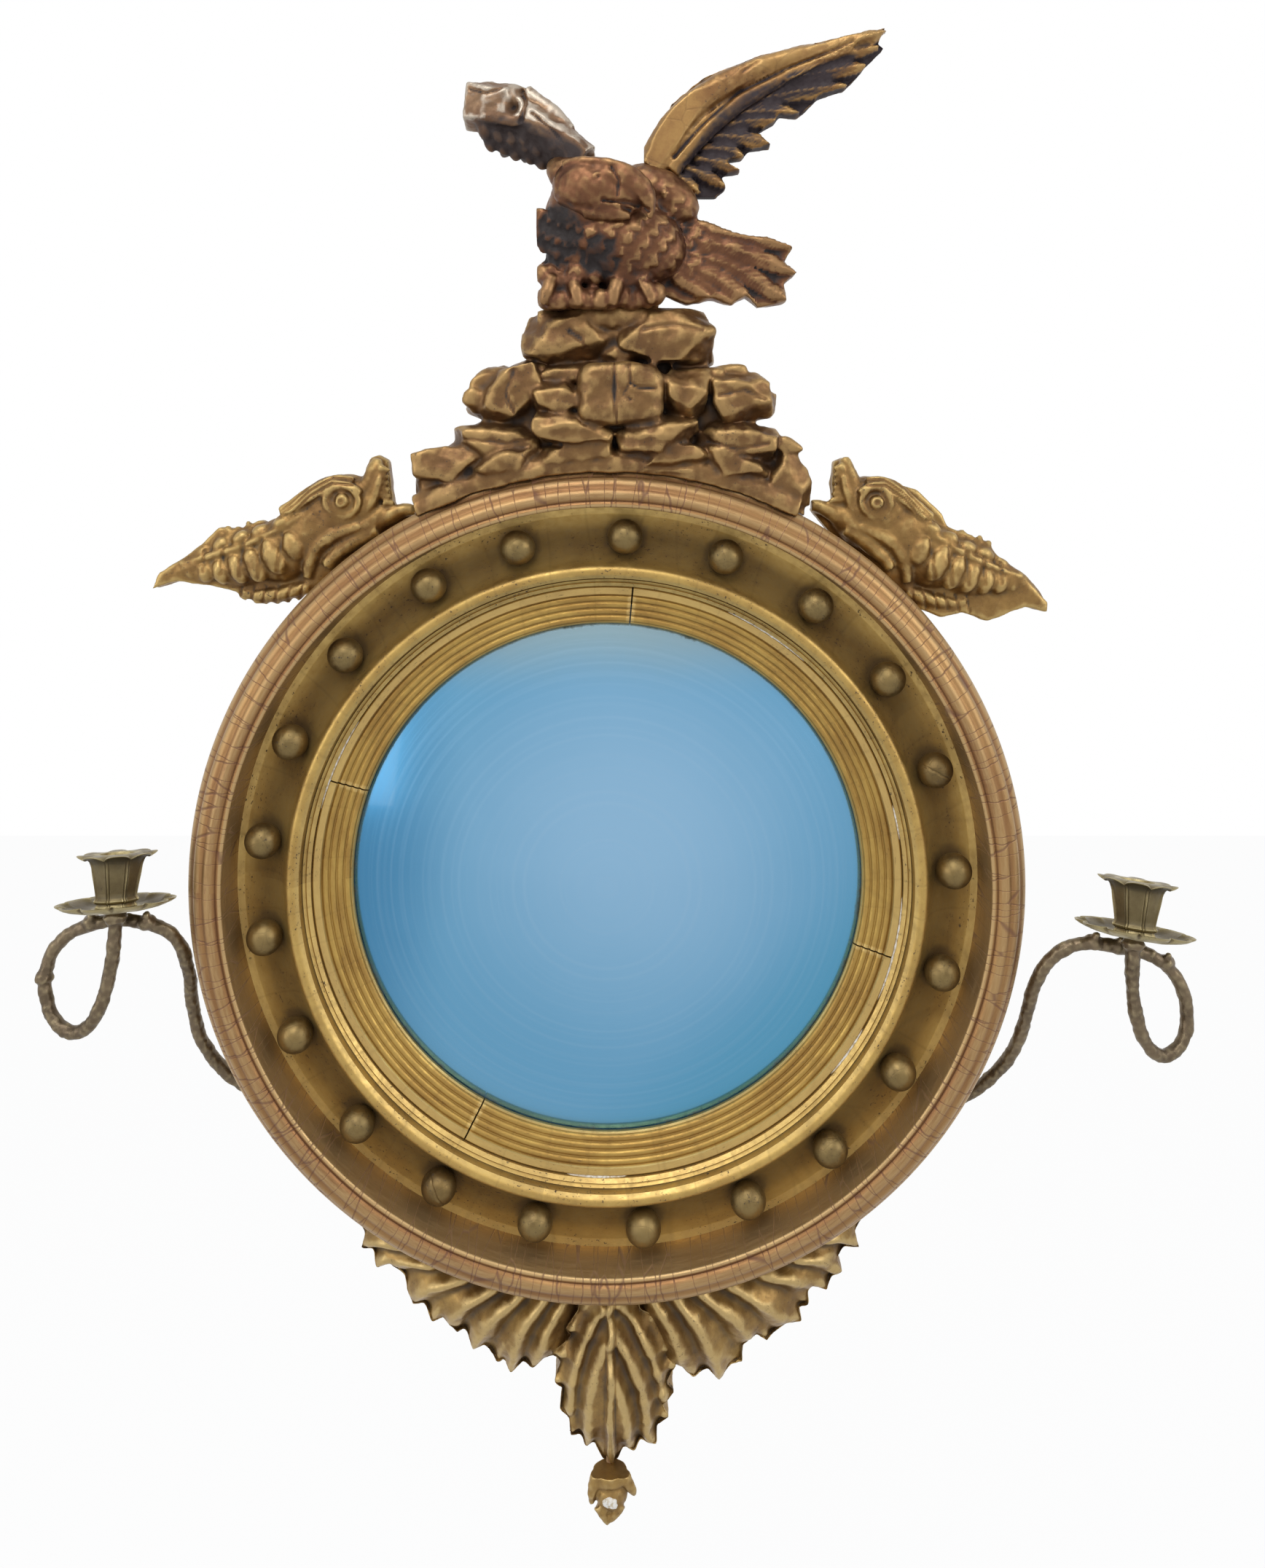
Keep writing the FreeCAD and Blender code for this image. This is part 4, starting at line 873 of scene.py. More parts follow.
def grainy(thing, size, amount, seed):
    """Roughen a carved skin a little, as old gesso does."""
    place = read_points(thing)
    shift = Vector((seed, 0, seed))
    bumps = np.array([noise.noise(Vector(point) * (1000 / size) + shift) for point in place])
    return write_points(thing, place + read_points(thing, "normal") * bumps[:, None] * amount * MM)


def scales(angle, width, length, height, keep):
    """A rule for rows of overlapping scale feathers whose tips point along an angle."""
    turn = math.radians(angle)

    def rule(x, z):
        along = (x * math.cos(turn) + z * math.sin(turn)) / length
        row = np.floor(along)
        across = (-x * math.sin(turn) + z * math.cos(turn)) / width + 0.5 * (row % 2)
        across = across - np.floor(across) - 0.5
        share = along - row
        tip = 1 - 1.7 * across ** 2
        inside = share < tip
        lift = np.where(inside, share / tip, (share - tip) * 0.6)
        quill = 0.18 * np.exp(-(across * width / 0.8) ** 2) * inside
        return height * (lift * (1 - 1.3 * across ** 2) + quill) * keep(x, z)
    return rule


def within(x0, z0, across, up, lean=0.0):
    """A soft oval patch, one inside and nothing outside."""
    turn = math.radians(lean)

    def patch(x, z):
        a = ((x - x0) * math.cos(turn) + (z - z0) * math.sin(turn)) / across
        b = (-(x - x0) * math.sin(turn) + (z - z0) * math.cos(turn)) / up
        return np.clip((1.15 - np.hypot(a, b)) / 0.3, 0, 1)
    return patch


# The round moulding as seen from the side: how far out it reaches at each depth.
RIM_DEPTHS = (0, 20, 27, 34, 40, 50, 58, 62, 65, 68, 71, 73.5, 74.5, 80, 81)
RIM_RADII = (271.5, 271.5, 293, 297, 299.2, 300.6, 300.4, 298.6, 296.2, 294, 291, 286.5,
             283.5, 283.5, 0)


def paint_light_and_shade(thing, rule):
    """Lower or raise the kept relief by a rule, for a painted shade where it is lowered and a painted highlight
    where it is raised.
    """
    x, z, depth, _ = places(thing)
    relief = np.empty(len(x), np.float32)
    kept = thing.data.attributes["relief"].data
    kept.foreach_get("value", relief)
    kept.foreach_set("value", (relief + rule(x, z, depth)).astype(np.float32))
    return thing


def trim(thing, *nodes, rim=False, slack=1.0):
    """Keep a piece in the box of the parts it stands for, and off the round moulding."""
    low = np.min([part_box(node)[0] for node in nodes], 0) - slack * MM
    high = np.max([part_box(node)[1] for node in nodes], 0) + slack * MM
    high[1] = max(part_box(node)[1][1] for node in nodes)
    place = np.clip(read_points(thing), low, high)
    if rim:
        radius = np.maximum(np.hypot(place[:, 0], place[:, 2]), 1e-6)
        edge = np.interp(-place[:, 1] * 1000, RIM_DEPTHS, RIM_RADII) * MM
        push = np.maximum(edge / radius, 1.0)
        place[:, 0] *= push
        place[:, 2] *= push
    return write_points(thing, place)


def finish_carving(thing, grains, nodes, rounds, **fit):
    """Roughen a carving by grains of (size, amount, seed), trim it and note its relief."""
    for grain in grains:
        grainy(thing, *grain)
    trim(thing, *nodes, **fit)
    return note_relief(thing, rounds)


print("carving tools are ready")

# %% [markdown]
# The rockwork is one bank of stones in four rough courses. Each stone is a cube with its corners
# sawn off by the bisect tool at odd angles and its edges bevelled, then stretched to its place in
# the bank. The stones are listed as seen from the front: place, half width, half height, how far
# the face stands out, lean, and the seed of their cuts. Fusing the whole bank with one remesh
# leaves no straight gaps between the courses.

# %% One stone
def stone(x, z, across, up, out, lean, seed, cuts=8, back=26.0):
    """A faceted stone between the batten's face and its own front."""
    dice = random.Random(seed)
    clear_bench()
    bpy.ops.mesh.primitive_cube_add(size=2)
    thing = bpy.context.object
    open_up(thing)
    for _ in range(cuts):
        normal = Vector((dice.uniform(-1, 1), dice.uniform(-0.2, 0.8), dice.uniform(-1, 1))).normalized()
        bpy.ops.mesh.select_all(action="SELECT")
        bpy.ops.mesh.bisect(plane_co=normal * dice.uniform(0.92, 1.12), plane_no=normal,
                            use_fill=True, clear_outer=True)
    clear_bench()
    work(thing, "BEVEL", width=0.2, segments=3, limit_method="ANGLE")
    half_out = (out - back) / 2
    turn = Matrix.Rotation(math.radians(-lean), 4, "Y")
    scale = Matrix.Diagonal((across * MM, -half_out * MM, up * MM, 1))
    thing.data.transform(Matrix.Translation(spot(x, z, back + half_out)) @ turn @ scale)
    return outwards(thing)


# %% Bank of stones
stones = [
    (-28, 393, 33, 19, 67, 5, 11), (12, 390, 27, 18, 62, -4, 12), (43, 393, 34, 19, 71, 2, 13),
    (-70, 352, 24, 18, 66, 16, 21), (-84, 362, 15, 10, 58, 38, 22), (-90, 345, 13, 9, 60, -14, 23),
    (-28, 367, 20, 8, 61, 2, 24), (-35, 350, 19, 12, 73, -8, 25), (-62, 369, 17, 6, 57, 14, 26),
    (55, 351, 16, 18, 76, -6, 28), (75, 361, 12, 10, 62, 8, 29), (97, 350, 21, 16, 68, 6, 30),
    (112, 346, 10, 7, 58, 0, 31), (84, 367, 16, 5, 57, 10, 32),
    (-80, 319, 31, 12, 68, 4, 33), (-24, 327, 28, 12, 76, -12, 34), (37, 321, 29, 13, 78, 18, 35),
    (93, 318, 28, 13, 70, -10, 36), (128, 316, 12, 5, 62, 0, 37), (6, 328, 13, 7, 60, 0, 38),
    (-113, 303, 25, 13, 66, 16, 41), (-124, 281, 14, 19, 60, 30, 42), (-73, 301, 23, 12, 72, 8, 43),
    (-26, 308, 29, 10, 70, 5, 44), (49, 306, 23, 9, 72, 6, 46), (91, 301, 24, 11, 70, -12, 47),
    (131, 290, 15, 21, 64, 14, 48), (112, 284, 20, 15, 58, -30, 49), (-102, 286, 22, 13, 58, 38, 50),
    (10, 308, 14, 7, 56, 0, 51)]
bank_outline = [
    (-132, 262), (-134, 284), (-127, 300), (-120, 314), (-104, 322), (-90, 334), (-92, 352), (-78, 362),
    (-60, 370), (-48, 376), (-52, 386), (-54, 398), (-50, 408), (68, 409), (72, 400), (70, 386),
    (74, 370), (94, 364), (108, 354), (108, 344), (106, 328), (126, 318), (138, 300), (142, 288),
    (142, 264), (90, 257), (-80, 257)]


def middle_block():
    """The smooth squared block in the middle of the bank, with its corners rounded."""
    clear_bench()
    bpy.ops.mesh.primitive_cube_add(size=2)
    block = bpy.context.object
    half_sizes = Matrix.Diagonal((0.030, 0.028, 0.0215, 1))
    block.data.transform(Matrix.Translation(spot(10, 351, 53)) @ half_sizes)
    open_up(block)
    bpy.ops.mesh.select_all(action="SELECT")
    bpy.ops.mesh.bevel(offset=0.010, segments=4)
    clear_bench()
    return block


rockwork = ("rockwork_base", "rockwork_middle", "rockwork_crown")
heap = [stone(*numbers) for numbers in stones]
skirt = strand([(302 * math.cos(math.radians(angle)), 302 * math.sin(math.radians(angle)), 56, 11)
                for angle in range(63, 119, 6)])
crown_top = strand([(-48, 404, 50, 9), (-20, 407, 56, 9), (10, 406, 58, 10), (40, 407, 56, 9),
                    (66, 404, 50, 9)])
bank = clay([*heap, middle_block(), board(bank_outline, 25.0, 52.0), skirt, crown_top], 1.6, 7)
print("the bank has", len(stones), "stones and", len(bank.data.polygons), "faces")

# %% [markdown]
# The gouge leaves slow waves on the stones and a finer tooth over them. Two cracks run down the
# middle block, a knot sits on the top stone, and short creases split the larger stones.

# %% Cut the bank
creases = [
    ridge([(6, 372), (5.5, 351), (7, 331)], -2.2, 0.9, 1.0),
    ridge([(16, 371), (16.5, 358), (22, 355), (34, 354)], -2.0, 0.9, 1.0),
    ridge([(16, 357), (12, 350), (17, 346)], -1.4, 0.8, 1.0),
    ridge([(-4, 381), (5, 389), (14, 384)], -3.2, 4.0, 0.8),
    ridge([(-26, 396), (-19, 391), (-15, 385)], -2.0, 1.6, 0.8),
    ridge([(37, 308), (37, 334)], 1.6, 5.0, 1.0), ridge([(14, 322), (60, 320)], 1.4, 3.0, 1.0),
    ridge([(-66, 338), (-72, 352), (-66, 368)], -1.6, 1.3, 0.8),
    ridge([(-104, 320), (-70, 316), (-54, 320)], -1.5, 1.3, 0.8),
    ridge([(-44, 326), (-22, 330), (-4, 324)], 1.6, 3.0, 0.8),
    ridge([(72, 318), (92, 312), (114, 316)], -1.5, 1.3, 0.8),
    ridge([(80, 350), (98, 354), (112, 348)], -1.6, 1.4, 0.8),
    ridge([(26, 397), (46, 400), (68, 396)], -1.4, 1.6, 0.8),
    ridge([(27, 297.5), (59, 297)], 1.2, 0.9, 1.0)]
chisel(bank, together(creases), 0)
finish_carving(bank, [(19, 2.4, 1), (8, 0.9, 3), (3.2, 0.22, 5)], rockwork, 18, rim=True)
hang(bank, "rockwork_stones", "frame", rock_gold, "rock_gilding", *rockwork)

# %% [markdown]
# Each dolphin is the heraldic kind: a round head with a ringed eye, an upper jaw that curls up with
# small teeth along it, a rolled crest, a frilled cheek and a ribbed body that tapers to the tail.
# A board sawn to its outline carries the masses, as on the real carving, so no gap shows between
# them. It is modelled once, as a list of strokes. The right one is not a plain mirror image: it is
# a little shorter and its tail hangs lower, so its strokes pass through a function that moves them.

# %% Sides of a dolphin
def as_left(x, z):
    return x, z


def as_right(x, z):
    return 22 - 0.9 * x, z - (-x - 180) * 0.075


dolphin_outlines = {
    "left_dolphin": [
        (-336, 210), (-331, 222), (-312, 234), (-296, 246), (-287, 256), (-272, 254), (-257, 261),
        (-247, 258), (-240, 266), (-225, 277), (-212, 290), (-199, 295), (-187, 292), (-180, 288),
        (-178, 300), (-175, 307), (-169, 309), (-162, 305), (-160, 290), (-158, 272), (-149, 271),
        (-139, 270), (-150, 253), (-180, 228), (-206, 206), (-222, 210),
        (-240, 201), (-260, 199), (-264, 206), (-290, 212), (-318, 216)],
    "right_dolphin": [
        (149, 270), (166, 272), (165, 288), (167, 304), (173, 307), (180, 304), (184, 286),
        (192, 291), (206, 291), (228, 283),
        (246, 266), (251, 256), (280, 245), (287, 235), (305, 221), (325, 200), (324, 193), (308, 197),
        (280, 186), (262, 193), (246, 189), (226, 197), (212, 207), (190, 229), (165, 250)]}


# %% [markdown]
# The strokes are listed from the head to the tail, and the rows of teeth, fin rays and back
# ripples are each made by one short loop.

# %% Dolphins
def dolphin(name, side):
    """Model one dolphin from its strokes."""
    hand = 1 if side is as_left else -1

    def lump(x, z, depth, across, up, out, lean=0.0):
        return mass(*side(x, z), depth, across, up, out, lean * hand)

    def stroke(*points):
        return strand([(*side(x, z), depth, radius) for x, z, depth, radius in points])

    parts = [
        board(dolphin_outlines[name], 17, 31),
        lump(-195, 269, 30, 31, 25, 18, 20), lump(-214, 254, 30, 32, 25, 17, 35),
        lump(-238, 240, 29, 29, 23, 16, 32), lump(-264, 231, 27, 27, 18, 14, 22),
        lump(-290, 227, 25, 25, 12, 11, 16), lump(-178, 256, 30, 26, 13, 15, 42),
        lump(-204, 230, 27, 28, 15, 12, 44),
        stroke((-300, 229, 26, 10), (-314, 226, 25, 8), (-325, 219, 23, 6), (-335, 211, 21, 2)),
        stroke((-188, 277, 32, 12), (-178, 281, 33, 9), (-171, 291, 34, 7.5), (-170, 301, 34, 6.5),
               (-169, 306, 33, 3)),
        stroke((-186, 272, 36, 9), (-174, 270, 37, 8), (-168, 282, 37, 6), (-166, 297, 36, 4.5)),
        stroke((-188, 260, 38, 7), (-176, 264, 39, 6), (-169, 276, 40, 4.5), (-167, 292, 39, 3.4)),
        stroke((-192, 250, 35, 8), (-170, 259, 36, 7), (-155, 267, 35, 6), (-144, 270, 34, 5),
               (-139, 267, 33, 3.4)),
        stroke((-185, 289, 41, 4), (-198, 291, 42, 5.5), (-212, 284, 42, 6.5), (-226, 272, 41, 6),
               (-237, 266, 38, 5.5)),
        stroke((-188, 285, 45, 1.8), (-202, 287, 46, 2.2), (-216, 278, 46, 2.4), (-232, 266, 44, 2)),
        stroke((-180, 257, 41, 5), (-194, 252, 42, 6), (-205, 249, 42, 6.5), (-214, 240, 40, 6.5),
               (-218, 229, 38, 5.5), (-219, 219, 36, 4)),
        stroke((-168, 254, 39, 5), (-184, 247, 40, 6.5), (-197, 240, 40, 6.5), (-205, 228, 38, 5)),
        stroke((-222, 264, 42, 3.2), (-240, 254, 42, 3), (-262, 243, 40, 2.8), (-288, 235, 36, 2.6),
               (-314, 229, 31, 2)),
        stroke((-220, 212, 30, 5), (-240, 206, 30, 6), (-258, 204, 29, 5), (-272, 207, 27, 3)),
        lump(-228, 243, 41, 9, 12, 8, 30), lump(-243, 235, 40, 9, 15, 9, 28),
        lump(-257, 229, 38, 8, 14, 8, 24), lump(-270, 226, 36, 7.5, 12, 8, 20),
        lump(-283, 224, 34, 7, 10, 7, 15), lump(-295, 223, 32, 6.5, 8, 6, 10),
        lump(-306, 223, 29, 6, 6.5, 5, 10), lump(-237, 259, 38, 9, 6, 7, 30),
        lump(-253, 252, 36, 8, 6.5, 7, 25), lump(-268, 247, 34, 8, 6.5, 7, 20),
        lump(-283, 243, 32, 8, 6, 6, 25), lump(-298, 237, 29, 7, 5, 5, 30),
        lump(-192, 275, 45, 6, 6, 7)]
    for number in range(6):
        share = number / 5
        x, z = side(-161.5 + 3 * share - 2 * math.sin(share * 3), 299 - 24 * share)
        parts.append(strand([(x - 5 * hand, z, 38, 3.4), (x + 3 * hand, z - 1.5, 38, 1.2)]))
    for number in range(6):
        share = number / 5
        ax, az = side(-226 - 40 * share, 209 - 3 * math.sin(share * math.pi))
        parts.append(strand([(ax, az, 29, 4.5), (ax - 3 * hand, az - 7, 27, 1.8)]))
    for number in range(5):
        share = number / 4
        ax, az = side(-254 - 30 * share, 255 - 6 * share)
        parts.append(strand([(ax, az - 3, 30, 5), (ax - 5 * hand, az + 4 + (number % 2) * 2, 27, 1.8)]))
    ring = []
    for number in range(17):
        angle = math.radians(number * 22.5)
        x, z = side(-192 + 12.0 * math.cos(angle), 275 + 11.0 * math.sin(angle))
        ring.append((x, z, 46 + 0.8 * math.sin(angle), 2.8))
    parts.append(strand(ring))
    parts.append(stroke((-207, 280, 46, 2), (-200, 289, 47, 3.2), (-188, 290, 47, 3.2),
                        (-178, 281, 46, 2)))
    fish = clay(parts, 1.3, 4)
    cuts = [ridge([side(-236 - 15 * step, 250 - 3 * step), side(-240 - 14 * step, 218 + 1.5 * step)],
                  -1.3, 1.6, 0.8) for step in range(5)]
    for drop in (0, 4, 8):
        cuts.append(ridge([side(-184, 295 - drop), side(-199, 296 - drop), side(-215, 287 - drop),
                           side(-228, 275 - drop), side(-240, 266 - drop * 0.4)], -1.5, 1.0, 0.8))
    for number in range(6):
        ax, az = side(-224 - 9 * number, 212)
        cuts.append(ridge([(ax, az), (ax - 3 * hand, az - 12)], -1.2, 1.0, 1.0))
    eye = side(-192, 275)
    cuts.append(lambda x, z: -2.4 * np.exp(-((x - eye[0]) ** 2 + (z - eye[1]) ** 2) / 4.5))
    chisel(fish, together(cuts), 0)
    finish_carving(fish, [(9, 0.7, 2), (3.5, 0.2, 4)], [name], 16, rim=True, slack=0.5)
    return hang(fish, name + "_carving", "frame", dolphin_gold, "carved_gilding", name)


dolphin("left_dolphin", as_left)
dolphin("right_dolphin", as_right)

# %% [markdown]
# The apron is three acanthus leaves and a bud. A carver saws the outline, rounds the board down to
# its edge, then cuts a vein up each lobe with hollow flutes between the veins. The same three steps
# make each leaf here: a board, a swelling, and a list of veins. A flute is the hollow halfway
# between two neighbouring veins.

# %% Leaf carver
def between(first, last):
    """The line halfway between two veins."""
    return [((ax + bx) / 2, (az + bz) / 2) for (ax, az), (bx, bz) in zip(first, last)]


def curled(root, tip, bow):
    """A vein from a root to a tip, bowed to its left by bow millimetres."""
    (ax, az), (bx, bz) = root, tip
    length = math.dist(root, tip)
    nx, nz = -(bz - az) / length, (bx - ax) / length
    return [(ax + (bx - ax) * share + nx * bow * math.sin(share * math.pi),
             az + (bz - az) * share + nz * bow * math.sin(share * math.pi)) for share in (0, 0.25, 0.5, 0.75, 1)]


def leaf(node, outline, midrib, veins, back, edge, rise, reach):
    """Carve one leaf: board, swelling, veins, flutes and midrib."""
    blank = clay([board(outline, back, edge)], 1.3, 2)
    rules = [swell(outline, rise, reach)]
    for vein in veins:
        rules.append(ridge(vein, 6.0, 5.4, 0.6))
    for first, last in zip(veins, veins[1:]):
        if math.dist(first[-1], last[-1]) < 60:
            rules.append(ridge(between(first, last), -5.0, 4.6, 0.9))
    if midrib:
        rules.append(ridge(midrib, 5.5, 4.0, 0.5))
        rules.append(ridge([(x + 3.4, z) for x, z in midrib], -2.6, 1.0, 0.9))
        rules.append(ridge([(x - 3.4, z) for x, z in midrib], -2.6, 1.0, 0.9))
    chisel(blank, together(rules), 2, (-0.1, 0.35))
    finish_carving(blank, [(11, 0.8, 6), (4, 0.25, 7)], [node], 16, rim=True, slack=0.5)
    return hang(blank, node + "_carving", "frame", leaf_gold, "leaf_gilding", node)


# %% [markdown]
# The middle leaf hangs point down. Its veins start high beside the midrib and sweep down and out
# like a plume. Each side leaf lies along the rim, and its veins fan out to its lower edge.

# %% Middle leaf
centre_outline = [
    (-21, -290), (-21, -316), (-31, -330), (-26, -336), (-41, -348), (-34, -354), (-39, -368), (-33, -374),
    (-35, -390), (-28, -394), (-27, -409), (-19, -408), (-16, -416), (-10, -412), (-4, -424),
    (3, -430),
    (8, -424), (12, -414), (20, -420), (24, -411), (36, -414), (36, -402), (45, -394), (40, -386),
    (49, -377), (43, -370), (50, -356), (44, -350), (50, -344), (40, -330), (34, -320),
    (23, -316), (23, -290)]
centre_midrib = [(2, -296), (3, -340), (2, -385), (3, -428)]
left_veins = [curled((-9, -292), (-40, -347), -5), curled((-5, -296), (-38, -372), -8),
              curled((-3, -306), (-28, -404), -9), curled((-1, -330), (-14, -414), -6)]
right_veins = [curled((12, -292), (44, -331), 4), curled((9, -296), (49, -358), 7),
               curled((7, -302), (44, -392), 9), curled((5, -322), (30, -413), 8),
               curled((4, -350), (14, -416), 5)]
leaf("apron_centre_leaf", centre_outline, centre_midrib, left_veins + right_veins, 15, 42, 20, 15)

# %% Side leaves
left_outline = [
    (-184, -240), (-185, -252), (-178, -262), (-181, -274), (-172, -276), (-170, -288), (-160, -285),
    (-149, -295), (-147, -304), (-143, -315), (-135, -315), (-129, -329), (-120, -324), (-111, -337),
    (-104, -334), (-99, -348), (-90, -345), (-81, -359), (-76, -355), (-71, -365), (-62, -358), (-55, -363),
    (-46, -354), (-33, -352), (-22, -318), (-22, -290), (-80, -276), (-150, -244)]
left_leaf_veins = [curled((-27, -303), (-50, -358), -5), curled((-44, -302), (-72, -362), -6),
                   curled((-62, -300), (-99, -346), -6), curled((-82, -296), (-120, -329), -5),
                   curled((-104, -289), (-147, -310), -5), curled((-128, -279), (-170, -286), -4),
                   curled((-148, -267), (-180, -268), -3)]
leaf("apron_left_leaf", left_outline, [], left_leaf_veins, 15, 37, 17, 13)
right_outline = [
    (186, -238), (187, -252), (181, -262), (185, -273), (174, -274), (168, -281), (173, -291), (165, -295),
    (161, -305), (150, -301), (147, -305), (148, -317), (140, -318), (143, -328), (131, -328), (117, -342),
    (109, -337), (99, -346), (99, -358), (90, -360), (82, -370), (74, -363), (63, -369), (54, -360),
    (42, -359), (24, -318), (24, -290), (80, -276), (150, -240)]
right_leaf_veins = [curled((30, -304), (56, -362), 5), curled((50, -302), (83, -368), 6),
                    curled((68, -299), (108, -344), 6), curled((90, -294), (134, -330), 5),
                    curled((113, -285), (154, -304), 5), curled((137, -273), (172, -288), 4),
                    curled((158, -260), (184, -268), 3)]
leaf("apron_right_leaf", right_outline, [], right_leaf_veins, 15, 37, 17, 13)

# %% [markdown]
# The bud hangs under the middle leaf: a round knob, four short leaves that clasp it, and a point.
# A chip has come off the front of the knob and shows white gesso, so the chip is a small piece of
# its own, pressed into the knob.

# %% Bud
bud = clay([
    mass(3, -443, 44, 12, 11, 12), mass(2, -431, 44, 13, 10, 11),
    strand([(0, -446, 46, 8), (0, -456, 46, 5), (0, -466, 46, 1.4)]),
    strand([(-6, -426, 48, 5), (-12, -437, 50, 4.5), (-11, -449, 48, 1.8)]),
    strand([(10, -426, 48, 5), (17, -436, 50, 4.5), (20, -443, 48, 1.8)]),
    strand([(-6, -449, 50, 4), (-2, -457, 52, 3), (1, -462, 50, 1.4)]),
    strand([(10, -448, 50, 4), (5, -456, 52, 3), (1, -461, 50, 1.4)])], 1.0, 2)
finish_carving(bud, [(4, 0.5, 8)], ["apron_bud"], 12, slack=0.5)
hang(bud, "apron_bud_carving", "frame", leaf_gold, "leaf_gilding", "apron_bud")
chip = clay([mass(2, -443, 54, 5.6, 4.0, 3.2, 10), mass(4, -445, 54.5, 4.0, 2.6, 2.6, -20)], 0.7, 1)
grainy(chip, 2.5, 0.5, 9)
hang(chip, "bud_gesso_chip", "frame", gesso, "leaf_gilding")

# %% [markdown]
# The eagle stands on the rocks with its head turned to the right. Its body, tail and feet are
# made first. Rounded masses give the body, strands give the claws and the breast's lower edge, and
# the tail is a sawn board. The small feathers of the breast lie in rows like roof tiles, so a
# rule for one tile is repeated over the breast, and the tail has six long feathers of its own.

# %% Rough body
tail_outline = [
    (20, 484), (60, 479), (92, 467), (118, 463), (133, 457), (127, 447), (136, 438), (126, 431),
    (129, 418), (108, 414), (99, 422), (89, 415), (73, 420), (57, 416), (39, 424), (16, 436)]
eagle_parts = [
    mass(6, 466, 58, 54, 34, 33, -24), mass(-14, 486, 70, 26, 30, 24), mass(38, 494, 58, 31, 18, 19, -30),
    mass(-24, 505, 64, 20, 15, 16, -30), board(tail_outline, 46, 58),
    board([(-47, 413), (-47, 446), (-20, 456), (30, 450), (38, 432), (36, 413)], 46, 60),
    mass(-29, 452, 58, 15, 20, 17, 12), mass(14, 440, 60, 22, 17, 19)]
claws = random.Random(7)
for number in range(15):
    x = -43 + 5.6 * number
    eagle_parts.append(mass(x, 419 + claws.uniform(-2, 3), 66 + claws.uniform(-3, 7), 6.5, 8.5, 8,
                            claws.uniform(-30, 30)))
for number in range(7):
    eagle_parts.append(mass(-44 + 6 * number, 434 + claws.uniform(-4, 5), 66 + claws.uniform(-2, 6),
                            6, 8.5, 7, claws.uniform(-30, 30)))
for x, z, reach in ((-38, 424, -4), (-24, 423, 3), (8, 424, -2), (24, 425, 5)):
    eagle_parts.append(strand([(x, z + 8, 70, 6), (x + reach, z, 79, 5.5), (x + reach * 1.6, z - 11, 76, 3)]))
for number in range(8):
    root_x, root_z = -45 + 5.0 * number, 480 - 3.4 * number
    eagle_parts.append(strand([(root_x, root_z, 72, 6), (root_x - 3, root_z - 14, 73, 6),
                               (root_x - 5, root_z - 23 - 3 * (number % 2), 68, 3)]))
eagle = clay(eagle_parts, 1.5, 2)
print("the eagle's body has", len(eagle.data.polygons), "faces")

# %% Feathers of the body
head_area = within(-4, 492, 40, 26)


def below_head(patch):
    """A patch with the place of the head left out of it."""
    return lambda x, z: patch(x, z) * (1 - head_area(x, z))


breast = scales(-36, 10.5, 11.5, 3.0, below_head(within(26, 466, 48, 34, -24)))
neck_rows = scales(-112, 7.5, 12.0, 2.4, below_head(within(-28, 470, 20, 22, -30)))
thigh_rows = scales(-100, 7.0, 9.0, 1.8, within(-27, 448, 16, 14))
tail_feathers = highest([
    feather([(34, 474), (88, 466), (132, 457)], 16, 1.0, 3.2),
    feather([(34, 466), (90, 456), (135, 437)], 15, 1.6, 4.2),
    feather([(34, 458), (88, 444), (129, 418)], 16, 1.0, 3.2),
    feather([(34, 452), (76, 436), (106, 414)], 15, 1.8, 4.4),
    feather([(32, 448), (64, 434), (89, 416)], 14, 1.0, 3.0),
    feather([(30, 446), (54, 434), (72, 421)], 13, 1.6, 3.6)], 0.0)
chisel(eagle, lambda x, z: breast(x, z) + neck_rows(x, z) + thigh_rows(x, z), 1)
x, z, depth, _ = places(eagle)
on_tail = np.clip((66 - depth) / 4, 0, 1) * np.clip((x - 40) / 8, 0, 1)
chisel(eagle, lambda x, z: tail_feathers(x, z) * on_tail, 1)
grainy(eagle, 12, 1.2, 9)
grainy(eagle, 4, 0.4, 10)

# %% [markdown]
# The head is a smooth dome with a flat brow and a heavy hooked beak. It is made on its own, so that
# the rows of feathers don't run over it, and then joined to the body it is carved from.

# %% Head
head = clay([
    mass(-8, 491, 84, 30, 21, 20, -6), mass(-14, 500, 82, 22, 13, 15), mass(10, 488, 88, 18, 16, 14, -30),
    strand([(-4, 499, 90, 12), (14, 499, 95, 10.5), (27, 489, 97, 8), (32, 477, 97, 5), (30, 469, 96, 2)]),
    strand([(-12, 478, 88, 9), (4, 473, 92, 6.5), (17, 472, 94, 3)]),
    strand([(-30, 507, 90, 3), (-12, 510, 96, 4.5), (6, 507, 99, 4.5), (18, 500, 100, 3)]),
    mass(-6, 496, 101, 4.4, 3.8, 3.6),
    strand([(-16, 494, 98, 1.8), (-8, 490, 100.5, 2.4), (2, 491, 101, 2.0)])], 1.2, 3)
head_cuts = [ridge([(-2, 481), (12, 480), (24, 478), (29, 474)], -3.4, 1.4, 0.9),
             ridge([(4, 503), (9, 494), (8, 484)], -1.8, 1.2, 1.0), ridge([(12, 477), (16, 475)], -3.6, 2.0, 1.0),
             ridge([(-34, 486), (-22, 478), (-10, 476)], -1.6, 1.6, 1.0),
             lambda x, z: -2.2 * np.exp(-((x + 5) ** 2 + (z - 496) ** 2) / 2.4)]
chisel(head, together(head_cuts), 0)
grainy(head, 10, 1.0, 30)
grainy(head, 4, 0.35, 31)
eagle = weld(head, eagle)
finish_carving(eagle, [], ["eagle_body"], 18, slack=1.5)
